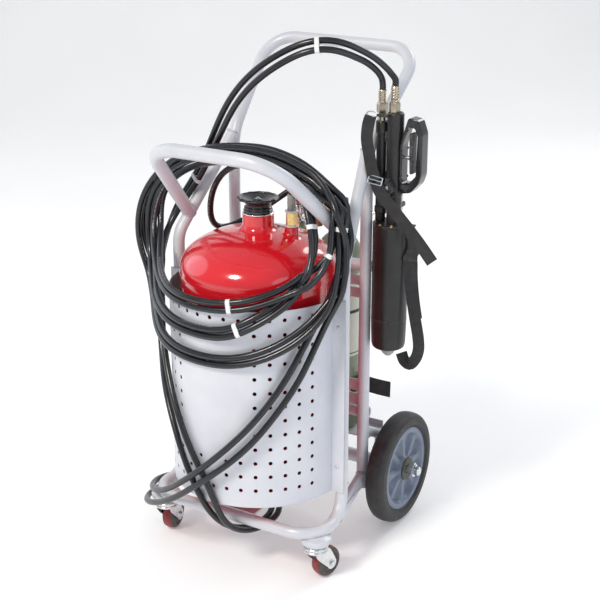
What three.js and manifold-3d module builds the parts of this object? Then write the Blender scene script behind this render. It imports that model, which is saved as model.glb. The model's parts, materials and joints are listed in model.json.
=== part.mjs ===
// Wheeled water-mist fire extinguisher: a bent-tube trolley that carries a red water tank behind a
// perforated shield, two compressed-air cylinders, twin hoses coiled over the tank and a hand gun.
// Millimetres, +X to the gun side, -Y to the shield, +Z up. Sizes below are measured from the tank axis and
// the floor; the finished group is then moved so that its origin is the centre of its footprint on the floor.

import * as THREE from "three";
import { mergeVertices } from "three/addons/utils/BufferGeometryUtils.js";
import Module from "manifold-3d";

const wasm = await Module();
wasm.setup();

// ---------------------------------------------------------------- driving dimensions
const GAP = 0.3; // between neighbouring pieces
const SIDES = [-1, 1];
const SIDE_NAME = { "-1": "left", 1: "right" };

// tube frame
const TUBE_R = 12.5;
const TUBE_WALL = 2;
const TUBE_SIDES = 10;
const POST = { x: 162.5, y: 157, foot: 100, bend: 857 };
const HANDLE = { x: 184, y: 340, z: 1036, bend: 62, rise: 90 };
const FRONT = { x: 200, y: 0, z: 666, bend: 60 };
const BASE = { x: 209, y: -120, z: 114, bend: 62, foot: 50 };
const HOSE_REST = { r: 14, x: 143, y: -169, z: 892, bend: 88, rootX: 193, rootY: 31, rootZ: 704 };
const CROSS = { y: 176, upper: 603, lower: 269 };
const RACK = { front: 169.8, back: 172.8, upper: [532, 582], lower: [285, 345] };

// tank and shield
const TANK = { r: 162, bottom: 131.2, wallTop: 628, top: 708, dish: 45, skin: 3 };
const NECK = { r: 32, bore: 27.5, top: 739 };
const OUTLET = { x: 70, y: 15, r: 14.5, top: 718 };
const INLET = { x: 41, y: 66, r: 13, top: 718 };
const CAP = { waist: 25.6, reach: 41, rise: 29 };
const SHIELD = { r: 182, thick: 1.5, low: 171, high: 593, flangeOut: 212, flangeY: -13.1 };
const SHIELD_FACETS = { count: 19, width: 30 };

// air cylinders
const CYLINDER = { r: 50, x: 51.5, y: 241, bottom: 195, shoulder: 592, top: 655, neck: 14, wall: 4 };
const VALVE = { r: 15, top: 702, wheelR: 21, wheelTop: 722 };
const STRAP = { thick: 2, low: 285, high: 322, tail: 182 };
const REGULATOR = { y: 241, low: 664, high: 696, half: 18 };

// rear wheels and axle
const WHEEL = { r: 125, rim: 93, x: 210, y: 239, half: 22.5, hub: 27, hubOut: 232, facets: 20 };
const AXLE = { r: 10, end: 262, carrierR: 15, carrierEnd: 176, braceR: 11, braceTop: 237 };

// swivel casters
const CASTER = { x: 190, y: -88, r: 33, half: 14, trail: 30, padR: 32, headR: 26 };
const CASTER_TURN = { "-1": 10, 1: -13 }; // degrees that each fork is turned at rest

// hand gun
const GUN = { x: 213.5, y: 168, barrelR: 37, wall: 4, muzzle: 12, low: 438, flange: 706, bodyTop: 938 };
const BODY = { x: 6, r: 17 };
const WATER = { x: -25, r: 10.5, top: 918 };
const GRIP = { out: 72, inner: 25, half: 14, low: 774, high: 932 };
const HOOK = { x: 214, y: 211, z: 716, r: 4, top: 762 };

// hoses
const HOSE = { r: 6.3, sides: 6, pair: 15.3, turns: 3.2, steps: 20, every: 2 };
const SETTLE = { points: 880, gap: 1.5, near: 9, ends: 12, share: 0.9, ease: 0.2, rounds: 70 };
const COIL_REACH = SHIELD.r + SHIELD.thick + HOSE.r + 3;
const SLING = { half: 12, thick: 2, y: -46 };

// ---------------------------------------------------------------- materials
function finish(color, roughness, metalness) {
  return new THREE.MeshStandardMaterial({ color, roughness, metalness });
}

const silver = () => finish(0xc9cdd6, 0.42, 0.35);
const red = () => finish(0xc4101c, 0.22, 0.1);
const black = () => finish(0x17181b, 0.5, 0);
const rubber = () => finish(0x222326, 0.75, 0);
const greyPlastic = () => finish(0x5f6c80, 0.5, 0);
const zinc = () => finish(0xb9bec4, 0.3, 0.9);
const brass = () => finish(0xb08a3c, 0.3, 0.9);
const webbing = () => finish(0x141416, 0.85, 0);
const composite = () => finish(0x5d6446, 0.45, 0);

// ---------------------------------------------------------------- geometry helpers
const vec = (x, y, z) => new THREE.Vector3(x, y, z);

/** A path whose samples fall exactly on its own points. */
class PointPath extends THREE.Curve {
  constructor(points) {
    super();
    this.points = points;
    this.steps = points.length - 1;
    this.tangents = points.map((point, i) => {
      const ahead = points[Math.min(i + 1, this.steps)];
      const behind = points[Math.max(i - 1, 0)];
      const into = point.clone().sub(behind).normalize();
      const out = ahead.clone().sub(point).normalize();
      return into.add(out).normalize();
    });
  }

  getPoint(t, target = new THREE.Vector3()) {
    return target.copy(this.points[Math.round(t * this.steps)]);
  }

  getPointAt(t, target) {
    return this.getPoint(t, target);
  }

  getTangentAt(t, target = new THREE.Vector3()) {
    return target.copy(this.tangents[Math.round(t * this.steps)]);
  }
}

/** Straight runs between corners, each inner corner rounded to its bend radius. */
function bentPath(corners, bends, arcSteps = 3) {
  const points = [corners[0]];
  for (let i = 1; i < corners.length - 1; i += 1) {
    const corner = corners[i];
    const bend = bends[i - 1];
    const back = corners[i - 1].clone().sub(corner).normalize();
    const ahead = corners[i + 1].clone().sub(corner).normalize();
    const half = back.angleTo(ahead) / 2;
    const inward = back.clone().add(ahead).normalize();
    const centre = corner.clone().addScaledVector(inward, bend / Math.sin(half));
    const start = corner.clone().addScaledVector(back, bend / Math.tan(half));
    const axis = ahead.clone().cross(back).normalize();
    for (let k = 0; k <= arcSteps; k += 1) {
      const spoke = start.clone().sub(centre);
      spoke.applyAxisAngle(axis, ((Math.PI - 2 * half) * k) / arcSteps);
      points.push(spoke.add(centre));
    }
  }
  points.push(corners[corners.length - 1]);
  return new PointPath(points);
}

function polygon(radius, sides) {
  const points = [];
  for (let i = 0; i < sides; i += 1) {
    const angle = ((i + 0.5) / sides) * 2 * Math.PI;
    points.push(new THREE.Vector2(radius * Math.cos(angle), radius * Math.sin(angle)));
  }
  return points;
}

/** Outward-facing closed triangles with shared vertices and position only. */
function closed(geometry) {
  geometry.deleteAttribute("normal");
  geometry.deleteAttribute("uv");
  const merged = mergeVertices(geometry, 1e-4);
  const place = merged.attributes.position;
  const index = merged.index.array;
  const [a, b, c] = [vec(0, 0, 0), vec(0, 0, 0), vec(0, 0, 0)];
  let volume = 0;
  for (let i = 0; i < index.length; i += 3) {
    a.fromBufferAttribute(place, index[i]);
    b.fromBufferAttribute(place, index[i + 1]);
    c.fromBufferAttribute(place, index[i + 2]);
    volume += a.dot(b.cross(c));
  }
  if (volume < 0) {
    for (let i = 0; i < index.length; i += 3) {
      [index[i], index[i + 1]] = [index[i + 1], index[i]];
    }
  }
  return merged;
}

function toManifold(geometry) {
  const merged = closed(geometry.clone());
  return new wasm.Manifold(
    new wasm.Mesh({
      numProp: 3,
      vertProperties: Float32Array.from(merged.attributes.position.array),
      triVerts: Uint32Array.from(merged.index.array),
    }),
  );
}

function fromManifold(solid) {
  const mesh = solid.getMesh();
  const geometry = new THREE.BufferGeometry();
  geometry.setAttribute("position", new THREE.BufferAttribute(mesh.vertProperties, 3));
  geometry.setIndex(new THREE.BufferAttribute(mesh.triVerts, 1));
  return geometry;
}

function cut(base, tools) {
  let solid = toManifold(base);
  for (const tool of tools) {
    solid = solid.subtract(toManifold(tool));
  }
  return fromManifold(solid);
}

function join(pieces) {
  let solid = toManifold(pieces[0]);
  for (const piece of pieces.slice(1)) {
    solid = solid.add(toManifold(piece));
  }
  return fromManifold(solid);
}

function sweep(shape, path) {
  return closed(new THREE.ExtrudeGeometry(shape, { steps: path.steps, extrudePath: path }));
}

/** Solid round bar along a path. */
function rod(path, radius, sides = TUBE_SIDES) {
  return sweep(new THREE.Shape(polygon(radius, sides)), path);
}

/** Hollow round tube along a path, open at both ends. */
function tube(path, radius, wall = TUBE_WALL, sides = TUBE_SIDES) {
  const shape = new THREE.Shape(polygon(radius, sides));
  shape.holes.push(new THREE.Path(polygon(radius - wall, sides)));
  return sweep(shape, path);
}

const line = (from, to) => new PointPath([from, to]);

/** Bar around a path that clears a faceted tube of the given radius. */
function clearance(path, radius) {
  return rod(path, (radius + GAP) / Math.cos(Math.PI / TUBE_SIDES));
}

/** Revolved solid about +Z from [radius, height] pairs that start and end on the axis or close. */
function revolve(profile, facets = 20) {
  const points = profile.map(([r, z]) => new THREE.Vector2(r, z));
  const geometry = new THREE.LatheGeometry(points, facets, Math.PI / facets);
  geometry.rotateX(Math.PI / 2);
  return closed(geometry);
}

/** Ring about +Z between two radii and two heights. */
function ring(inner, outer, low, high, facets = 16) {
  return revolve([[inner, low], [outer, low], [outer, high], [inner, high], [inner, low]], facets);
}

function disc(radius, low, high, facets = 16) {
  return revolve([[0, low], [radius, low], [radius, high], [0, high]], facets);
}

function block(x, y, z) {
  const size = [x[1] - x[0], y[1] - y[0], z[1] - z[0]];
  const box = new THREE.BoxGeometry(...size);
  return closed(box.translate((x[0] + x[1]) / 2, (y[0] + y[1]) / 2, (z[0] + z[1]) / 2));
}

/** Flat plate: an outline in plan, extruded upwards between two heights. */
function plate(outline, low, high) {
  const shape = new THREE.Shape(outline.map(([x, y]) => new THREE.Vector2(x, y)));
  const geometry = new THREE.ExtrudeGeometry(shape, { depth: high - low, bevelEnabled: false });
  return closed(geometry.translate(0, 0, low));
}

const trolley = new THREE.Group();

function add(name, geometry, material, parent = trolley) {
  const mesh = new THREE.Mesh(geometry, material);
  mesh.name = name;
  parent.add(mesh);
  return mesh;
}

// ---------------------------------------------------------------- tube frame
function rearPath() {
  const { x, y, foot, bend } = POST;
  const corners = [
    vec(-x, y, foot),
    vec(-x, y, bend),
    vec(-HANDLE.x, HANDLE.y, HANDLE.z),
    vec(HANDLE.x, HANDLE.y, HANDLE.z),
    vec(x, y, bend),
    vec(x, y, foot),
  ];
  return bentPath(corners, [HANDLE.rise, HANDLE.bend, HANDLE.bend, HANDLE.rise]);
}

function frontPath() {
  const end = (side) => vec(side * POST.x, POST.y, POST.bend);
  const shoulder = (side) => vec(side * FRONT.x, FRONT.y, FRONT.z);
  const foot = (side) => vec(side * FRONT.x, FRONT.y, BASE.z);
  const corner = (side) => vec(side * BASE.x, BASE.y, BASE.z);
  const corners = [end(-1), shoulder(-1), foot(-1), corner(-1), corner(1), foot(1), shoulder(1), end(1)];
  return bentPath(corners, [FRONT.bend, BASE.foot, BASE.bend, BASE.bend, BASE.foot, FRONT.bend]);
}

function hoseRestPath() {
  const { x, y, z, bend, rootX, rootY, rootZ } = HOSE_REST;
  const corners = [vec(-rootX, rootY, rootZ), vec(-x, y, z), vec(x, y, z), vec(rootX, rootY, rootZ)];
  return bentPath(corners, [bend, bend], 4);
}

const rear = rearPath();
const front = frontPath();
const aroundRear = clearance(rear, TUBE_R);
const aroundFront = clearance(front, TUBE_R);

function addMainTubes() {
  add("rear_frame_tube", tube(rear, TUBE_R), silver());
  add("front_frame_tube", cut(tube(front, TUBE_R), [aroundRear]), silver());
  const rest = tube(hoseRestPath(), HOSE_REST.r);
  add("hose_rest_tube", cut(rest, [aroundFront]), silver());
}

function addBaseTubes() {
  for (const side of SIDES) {
    const from = vec(side * POST.x, POST.y, 128);
    const to = vec(side * (FRONT.x + 1), -22, BASE.z);
    const base = cut(tube(line(from, to), TUBE_R), [aroundRear, aroundFront]);
    add(`base_side_tube_${SIDE_NAME[side]}`, base, silver());
  }
}

function addCrossTubes() {
  for (const level of ["upper", "lower"]) {
    const at = (x) => vec(x, CROSS.y, CROSS[level]);
    const path = line(at(-POST.x), at(POST.x));
    add(`${level}_cross_tube`, cut(tube(path, TUBE_R), [aroundRear]), silver());
  }
}

function addRackPlates() {
  for (const level of ["upper", "lower"]) {
    const sheet = block([-POST.x, POST.x], [RACK.front, RACK.back], RACK[level]);
    add(`${level}_rack_plate`, sheet, silver());
  }
}

/** T-shaped plate under the tank, resting on the front bar and reaching the base side tubes. */
function addTankSupport() {
  const leg = 60;
  const arm = 160;
  const armFront = 60;
  const armBack = 105;
  const low = TANK.bottom - GAP - 4;
  const outline = [
    [-leg, BASE.y], [leg, BASE.y], [leg, armFront], [arm, armFront],
    [arm, armBack], [-arm, armBack], [-arm, armFront], [-leg, armFront],
  ];
  const tools = [aroundFront, ...SIDES.map((side) => baseClearance(side))];
  add("tank_support_plate", cut(plate(outline, low, low + 4), tools), silver());
}

function baseClearance(side) {
  const from = vec(side * POST.x, POST.y, 128);
  const to = vec(side * (FRONT.x + 1), -22, BASE.z);
  return clearance(line(from, to), TUBE_R);
}

function addGunHook() {
  const { x, y, z, r, top } = HOOK;
  const start = vec(POST.x, POST.y + 6, z);
  const corners = [start, vec(POST.x, y, z), vec(x, y, z), vec(x, y, top)];
  const hook = rod(bentPath(corners, [12, 12], 3), r, 8);
  add("gun_hook", cut(hook, [aroundRear]), zinc());
}

// ---------------------------------------------------------------- rear axle and wheels
const WHEEL_Z = WHEEL.r;

function addAxle() {
  const { r, end, carrierR, carrierEnd, braceR, braceTop } = AXLE;
  const across = (half) => line(vec(-half, WHEEL.y, WHEEL_Z), vec(half, WHEEL.y, WHEEL_Z));
  add("axle", rod(across(end), r, 12), zinc());
  add("axle_carrier_tube", tube(across(carrierEnd), carrierR, carrierR - r - 0.6, 12), silver());
  const aroundCarrier = rod(across(carrierEnd + 5), carrierR + GAP + 0.3, 12);
  for (const side of SIDES) {
    const x = side * POST.x;
    const corners = [vec(x, POST.y, braceTop), vec(x, WHEEL.y - 4, braceTop - 42), vec(x, WHEEL.y, WHEEL_Z)];
    const brace = tube(bentPath(corners, [30]), braceR, TUBE_WALL, 8);
    add(`axle_brace_${SIDE_NAME[side]}`, cut(brace, [aroundRear, aroundCarrier]), silver());
  }
}

/** Rubber tyre: flat tread with rounded shoulders, revolved about the wheel axis. */
function tyreGeometry() {
  const { r, rim, half, facets } = WHEEL;
  const flat = 1 / Math.cos(Math.PI / facets);
  const bead = rim * flat + GAP;
  const outer = r * flat;
  const profile = [
    [bead, -half + 5], [bead + 5, -half], [bead + 18, -half], [outer - 7, -half + 5], [outer, -half + 14],
    [outer, half - 14], [outer - 7, half - 5], [bead + 18, half], [bead + 5, half], [bead, half - 5],
    [bead, -half + 5],
  ];
  return revolve(profile, facets);
}

/** Moulded rim: hub sleeve, thin web and ribs between hub and rim barrel. */
function rimGeometry() {
  const { rim, half, hub, hubOut, x, facets } = WHEEL;
  const bore = AXLE.r + 0.7;
  const out = hubOut - x;
  const barrel = rim - 13;
  const pieces = [
    ring(bore, hub, -half - 4, out - 3, facets),
    ring(hub - 4, barrel + 4, -4, 4, facets),
    ring(barrel, rim, -half + 5, half - 5, facets),
  ];
  const ribs = 8;
  for (let i = 0; i < ribs; i += 1) {
    const rib = block([hub - 4, barrel + 4], [-6, 6], [-12, 13]);
    rib.rotateZ(((i + 0.5) / ribs) * 2 * Math.PI);
    pieces.push(rib);
  }
  return join(pieces);
}

function addRearWheels() {
  for (const side of SIDES) {
    const name = SIDE_NAME[side];
    const wheel = new THREE.Group();
    wheel.position.set(side * WHEEL.x, WHEEL.y, WHEEL_Z);
    wheel.rotation.y = (side * Math.PI) / 2;
    trolley.add(wheel);
    const out = WHEEL.hubOut - WHEEL.x;
    add(`rear_tyre_${name}`, tyreGeometry(), rubber(), wheel);
    add(`rear_rim_${name}`, rimGeometry(), greyPlastic(), wheel);
    add(`hub_cap_${name}`, ring(AXLE.r + 0.7, WHEEL.hub - 1, out - 2.6, out + 1, 16), black(), wheel);
    add(`axle_clip_${name}`, ring(AXLE.r + 0.5, AXLE.r + 5, out + 14, out + 18, 12), zinc(), wheel);
  }
}

// ---------------------------------------------------------------- swivel casters
const CASTER_TOP = BASE.z - TUBE_R - GAP;

function padGeometry() {
  const { padR } = CASTER;
  const low = CASTER_TOP - 18;
  const profile = [
    [8, low], [padR - 9, low], [padR - 2, low + 7], [padR, low + 14], [padR, CASTER_TOP + 5],
    [8, CASTER_TOP + 5], [8, low],
  ];
  return revolve(profile, 16);
}

/** Swivel head, trailing fork legs and wheel bolt, pressed and riveted into one piece. */
function forkGeometry() {
  const { r, half, trail, headR } = CASTER;
  const top = CASTER_TOP - 18.5;
  const head = revolve(
    [
      [0, top - 18], [headR - 9, top - 18], [headR - 1, top - 12], [headR - 2, top - 6], [headR, top - 5],
      [headR - 2, top], [7, top], [7, top + 14], [0, top + 14],
    ],
    16,
  );
  const pieces = [head];
  for (const side of SIDES) {
    const leg = new THREE.Shape();
    leg.moveTo(-15, top - 8);
    leg.lineTo(20, top - 8);
    leg.lineTo(trail + 12, r + 4);
    leg.absarc(trail, r, 12, 0.35, -Math.PI + 0.5, true);
    leg.closePath();
    const legPlate = new THREE.ExtrudeGeometry(leg, { depth: 2.5, bevelEnabled: false, curveSegments: 4 });
    legPlate.rotateX(Math.PI / 2);
    legPlate.rotateZ(Math.PI / 2);
    legPlate.translate(side * (half + 3) - 1.25, 0, 0);
    pieces.push(legPlate);
  }
  const reach = half + 8;
  pieces.push(rod(line(vec(-reach, trail, r), vec(reach, trail, r)), 4.5, 8));
  return join(pieces);
}

function casterWheelGeometry() {
  const { r, half } = CASTER;
  const facets = 16;
  const outer = r / Math.cos(Math.PI / facets);
  const profile = [
    [5.6, -half + 1], [13, -half + 1], [outer - 10, -half + 2], [outer - 6, -half], [outer, -half + 5],
    [outer, half - 5], [outer - 6, half], [outer - 10, half - 2], [13, half - 1], [5.6, half - 1],
    [5.6, -half + 1],
  ];
  return revolve(profile, facets);
}

function addCasters() {
  for (const side of SIDES) {
    const name = SIDE_NAME[side];
    const caster = new THREE.Group();
    caster.position.set(side * CASTER.x, CASTER.y, 0);
    trolley.add(caster);
    add(`caster_pad_${name}`, trimmedPad(side), silver(), caster);
    const swivel = new THREE.Group();
    swivel.rotation.z = THREE.MathUtils.degToRad(CASTER_TURN[side]);
    caster.add(swivel);
    add(`caster_fork_${name}`, forkGeometry(), zinc(), swivel);
    const wheel = add(`caster_wheel_${name}`, casterWheelGeometry(), rubber(), swivel);
    wheel.position.set(0, CASTER.trail, CASTER.r);
    wheel.rotation.y = Math.PI / 2;
  }
}

/** Pad cut to the round of the base tube above it, in the pad's own place. */
function trimmedPad(side) {
  const above = aroundFront.clone().translate(-side * CASTER.x, -CASTER.y, 0);
  return cut(padGeometry(), [above]);
}

// ---------------------------------------------------------------- tank
function elliptic(radius, low, high, steps, from, to) {
  const points = [];
  for (let i = 0; i <= steps; i += 1) {
    const angle = from + ((to - from) * i) / steps;
    points.push([radius * Math.cos(angle), low + (high - low) * Math.sin(angle)]);
  }
  return points;
}

/** Pressure tank: dished bottom, straight wall, domed top and a short open neck. */
function tankShell() {
  const { r, bottom, wallTop, top, dish, skin } = TANK;
  const inner = r - skin;
  const neckAngle = Math.acos(NECK.r / r);
  const boreAngle = Math.acos(NECK.bore / inner);
  const profile = [
    ...elliptic(r, bottom + dish, bottom, 4, Math.PI / 2, 0).map(([x, z]) => [Math.max(x, 0), z]),
    ...elliptic(r, wallTop, top, 4, 0, neckAngle),
    [NECK.r, NECK.top],
    [NECK.bore, NECK.top],
    ...elliptic(inner, wallTop, top - skin, 4, boreAngle, 0),
    ...elliptic(inner, bottom + dish, bottom + skin, 4, 0, Math.PI / 2).map(([x, z]) => [Math.max(x, 0), z]),
  ];
  profile[0][0] = 0;
  profile[profile.length - 1][0] = 0;
  return revolve(profile, 24);
}

function domeHeight(x, y) {
  const ratio = Math.hypot(x, y) / TANK.r;
  return TANK.wallTop + (TANK.top - TANK.wallTop) * Math.sqrt(1 - ratio * ratio);
}

function addTank() {
  const bosses = [OUTLET, INLET].map(({ x, y, r, top }) => {
    const root = domeHeight(x, y) - 6;
    return disc(r, root, top, 12).translate(x, y, 0);
  });
  add("tank", join([tankShell(), ...bosses]), red());
  const { x, y } = OUTLET;
  const dip = tube(line(vec(x, y, 165), vec(x, y, domeHeight(x, y) - 6 - GAP)), 8, 1.5, 8);
  add("dip_tube", dip, zinc());
}

/** Plug, waist and flared finger rim of the filler closure. */
function addFiller() {
  const { bore, top } = NECK;
  add("filler_seal_ring", ring(bore, NECK.r, top + GAP, top + 3.5, 20), zinc());
  const { waist, reach, rise } = CAP;
  const face = top + 3.8;
  const plug = bore - 1.2;
  const profile = [
    [0, top - 20], [plug, top - 20], [plug, face], [waist + 4, face], [waist + 4, face + 5],
    [waist, face + 12],
    [waist, face + 15], [reach - 10, rise + face - 6], [reach, rise + face - 4], [reach, rise + face],
    [reach - 6, rise + face + 1], [14, face + 21], [0, face + 21],
  ];
  add("filler_cap", revolve(profile, 20), black());
}

function addOutlet() {
  const { x, y, top } = OUTLET;
  const base = top + GAP;
  const nipple = disc(12.2, base + 2, base + 31, 6);
  const fitting = join([disc(14, base, base + 3), nipple, disc(14, base + 30, base + 33)]);
  add("outlet_fitting", fitting, brass()).position.set(x, y, 0);
  const sleeve = add("outlet_sleeve", disc(9, base + 33.3, base + 64, 12), zinc());
  sleeve.position.set(x, y, 0);
}

// ---------------------------------------------------------------- shield
/** Half-round sheet with a flat flange on each side, in plan. */
function shieldOutline() {
  const { r, thick, flangeOut, flangeY } = SHIELD;
  const facets = SHIELD_FACETS.count;
  const pitchAngle = SHIELD_FACETS.width / r;
  const outline = [];
  const arc = (radius, from, to, step) => {
    for (let i = from; i !== to + step; i += step) {
      const angle = -Math.PI / 2 + (i - facets / 2) * pitchAngle;
      const reach = radius / Math.cos(pitchAngle / 2);
      outline.push([reach * Math.cos(angle), reach * Math.sin(angle)]);
    }
  };
  outline.push([flangeOut, flangeY]);
  outline.push([flangeOut, flangeY - thick]);
  const bend = r - 2;
  outline.push([bend, flangeY - thick]);
  arc(r, facets - 1, 1, -1);
  outline.push([-bend, flangeY - thick]);
  outline.push([-flangeOut, flangeY - thick]);
  outline.push([-flangeOut, flangeY]);
  outline.push([-bend + thick, flangeY]);
  arc(r - thick, 1, facets - 1, 1);
  outline.push([bend - thick, flangeY]);
  return outline;
}

function addShield() {
  const sheet = plate(shieldOutline(), SHIELD.low, SHIELD.high);
  add("front_shield", sheet, silver());
}

// ---------------------------------------------------------------- air cylinders
/** Seamless steel cylinder, hollow, open at the neck under its valve. */
function cylinderGeometry() {
  const { r, bottom, shoulder, top, neck, wall } = CYLINDER;
  const inner = r - wall;
  const profile = [
    [0, bottom], [r - 12, bottom], [r, bottom + 14], [r, shoulder],
    ...elliptic(r, shoulder, top - 8, 4, 0.25, 1.2),
    [neck, top - 4], [neck, top], [neck - wall, top], [neck - wall, top - 12],
    [inner * 0.7, shoulder + 30], [inner, shoulder - 4], [inner, bottom + 16], [0, bottom + 8],
  ];
  return revolve(profile, 18);
}

/** Valve body with a stub outlet that points to the regulator between the cylinders. */
function valveGeometry(side) {
  const { r, top } = VALVE;
  const low = CYLINDER.top + GAP;
  const stub = line(vec(0, 0, low + 24), vec(-side * (CYLINDER.x - REGULATOR.half - GAP), 0, low + 24));
  const bar = rod(stub, 7, 8);
  return join([disc(r, low, top - 8, 12), disc(9, top - 9, top, 12), bar]);
}

function handwheelGeometry() {
  const { wheelR, top, wheelTop } = VALVE;
  const wheel = disc(wheelR, top + GAP, wheelTop, 12);
  const notches = [];
  const count = 6;
  for (let i = 0; i < count; i += 1) {
    const angle = (i / count) * 2 * Math.PI;
    const place = [(wheelR + 3) * Math.cos(angle), (wheelR + 3) * Math.sin(angle)];
    notches.push(disc(5.5, top - 5, wheelTop + 5, 6).translate(place[0], place[1], 0));
  }
  return cut(wheel, notches);
}

function addCylinders() {
  for (const side of SIDES) {
    const name = SIDE_NAME[side];
    const set = new THREE.Group();
    set.position.set(side * CYLINDER.x, CYLINDER.y, 0);
    trolley.add(set);
    add(`air_cylinder_${name}`, cylinderGeometry(), composite(), set);
    add(`cylinder_valve_${name}`, valveGeometry(side), zinc(), set);
    add(`valve_handwheel_${name}`, handwheelGeometry(), black(), set);
  }
  const shelfTop = CYLINDER.bottom - GAP;
  const half = POST.x - AXLE.braceR - 1.5;
  add("cylinder_shelf", block([-half, half], [205, 275], [shelfTop - 3, shelfTop]), silver());
}

/** Webbing loop around both cylinders with a free tail past the buckle. */
function addCylinderStrap() {
  const { thick, low, high, tail } = STRAP;
  const inner = CYLINDER.r + 1.6;
  const outer = inner + thick;
  const loop = (radius) => {
    const points = [];
    const steps = 10;
    for (let i = 0; i <= steps; i += 1) {
      const angle = -Math.PI / 2 + (Math.PI * i) / steps;
      points.push([CYLINDER.x + radius * Math.cos(angle), CYLINDER.y + radius * Math.sin(angle)]);
    }
    return [...points, ...points.map(([x, y]) => [-x, 2 * CYLINDER.y - y])];
  };
  const band = cut(plate(loop(outer), low, high), [plate(loop(inner), low - 5, high + 5)]);
  const edge = CYLINDER.x + outer - 1;
  const end = block([edge, tail], [CYLINDER.y - 1, CYLINDER.y + 1], [low, high]);
  add("cylinder_strap", join([band, end]), webbing());
}

function addRegulator() {
  const { y, low, high, half } = REGULATOR;
  const body = join([
    block([-half, half], [y - 14, y + 14], [low, high]),
    disc(13, high - 1, high + 16, 12).translate(0, y, 0),
    disc(9, low - 14, low + 1, 12).translate(0, y, 0),
  ]);
  add("regulator", body, brass());
  const gauge = new THREE.Group();
  gauge.position.set(0, y + 14 + GAP, (low + high) / 2);
  gauge.rotation.x = -Math.PI / 2;
  trolley.add(gauge);
  const bowl = [[0, 0], [21, 0], [23, 3], [23, 14], [20.5, 14], [20.5, 9], [0, 9]];
  add("gauge_case", revolve(bowl, 20), zinc(), gauge);
  const needle = new THREE.Shape();
  needle.moveTo(-2, -5);
  needle.lineTo(2, -5);
  needle.lineTo(0.6, 16);
  needle.lineTo(-0.6, 16);
  needle.closePath();
  const blade = new THREE.ExtrudeGeometry(needle, { depth: 0.8, bevelEnabled: false });
  const pointer = add("gauge_needle", closed(blade.translate(0, 0, 10)), black(), gauge);
  pointer.rotation.z = -Math.PI / 4;
}

/** Line that carries reduced-pressure air from the regulator to the tank inlet. */
function addSupplyPipe() {
  const start = vec(0, REGULATOR.y - 14 - 2 * GAP, 680);
  const end = vec(INLET.x, INLET.y, INLET.top + GAP);
  const corners = [start, vec(0, 165, 683), vec(INLET.x, INLET.y, 752), end];
  add("supply_pipe", rod(bentPath(corners, [35, 18]), 5, 8), zinc());
}

// ---------------------------------------------------------------- hand gun
const gun = new THREE.Group();
gun.position.set(GUN.x, GUN.y, 0);
trolley.add(gun);

function addBarrel() {
  const { barrelR, low, flange, wall, muzzle } = GUN;
  const top = flange - GAP;
  const inner = barrelR - wall;
  const profile = [
    [muzzle, low], [barrelR - 5, low], [barrelR - 1.5, low + 14], [barrelR, low + 60], [barrelR, top],
    [0, top],
    [0, top - 8], [inner, top - 8], [inner, low + 20], [muzzle, low + 8], [muzzle, low],
  ];
  add("gun_barrel", revolve(profile, 20), black(), gun);
  const nozzle = [[0, low - 20], [9, low - 17], [15, low - 9], [18, low - GAP], [0, low - GAP]];
  add("gun_nozzle", revolve(nozzle, 16), greyPlastic(), gun);
}

/** Flange, valve body tube, hose coupling and the lug that hangs on the hook. */
function addGunBody() {
  const { flange, bodyTop } = GUN;
  const lugX = HOOK.x - GUN.x;
  const lugY = HOOK.y - GUN.y;
  const lugZ = 735;
  const solid = join([
    disc(37.4, flange, flange + 4, 20),
    block([30, 52], [-11, 11], [flange, flange + 4]),
    disc(BODY.r, flange + 3, bodyTop, 16).translate(BODY.x, 0, 0),
    disc(11.5, bodyTop - 1, bodyTop + 20, 6).translate(BODY.x - 3, 0, 0),
    disc(8, bodyTop + 19, bodyTop + 34, 10).translate(BODY.x - 3, 0, 0),
    block([lugX - 8, lugX + 8], [10, lugY + 9], [lugZ, lugZ + 8]),
  ]);
  const bore = disc(HOOK.r + 1.2, flange - 5, lugZ + 30, 10).translate(lugX, lugY, 0);
  const slot = disc(WATER.r + 0.6, flange - 1, flange + 5, 12).translate(WATER.x, 0, 0);
  add("gun_body", cut(solid, [bore, slot]), black(), gun);
}

function addWaterTube() {
  const { x, r, top } = WATER;
  const low = GUN.flange + GAP;
  const shape = join([
    disc(r, low, top, 12),
    disc(r + 1.8, low + 22, low + 34, 12),
    disc(11.5, top + 14, top + 36, 6),
    disc(8, top - 1, top + 15, 10),
    disc(8, top + 35, top + 58, 10),
  ]);
  shape.translate(x, 0, 0);
  add("gun_water_tube", shape, black(), gun);
}

/** D-shaped grip: hexagonal outline with a finger window and a slot behind the trigger. */
function addGrip() {
  const { out, inner, half, low, high } = GRIP;
  const root = BODY.x + BODY.r + GAP;
  const outline = new THREE.Shape();
  outline.moveTo(root, low + 2);
  outline.lineTo(out - 24, low + 6);
  outline.lineTo(out - 6, low + 26);
  outline.lineTo(out, low + 44);
  outline.lineTo(out, high - 30);
  outline.lineTo(out - 10, high - 3);
  outline.lineTo(out - 32, high);
  outline.lineTo(root, high - 52);
  outline.closePath();
  const window = new THREE.Path();
  window.moveTo(root + 5, low + 24);
  window.lineTo(out - 28, low + 26);
  window.lineTo(out - 13, low + 42);
  window.lineTo(out - 11, high - 34);
  window.lineTo(out - 17, high - 20);
  window.lineTo(out - 32, high - 18);
  window.lineTo(root + 5, high - 58);
  window.closePath();
  outline.holes.push(window);
  const grip = new THREE.ExtrudeGeometry(outline, { depth: 2 * half, bevelEnabled: false });
  grip.rotateX(Math.PI / 2);
  grip.translate(0, half, 0);
  const pinAt = (y) => vec(out - 26, y, high - 17);
  const pin = rod(line(pinAt(-half - 1), pinAt(half + 1)), 3, 8);
  const height = linkHeight();
  const bore = rod(line(vec(root - 5, 0, height), vec(root + 12, 0, height)), 4, 8);
  add("gun_grip", cut(join([grip, pin]), [bore]), black(), gun);
  addTrigger(inner);
}

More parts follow.
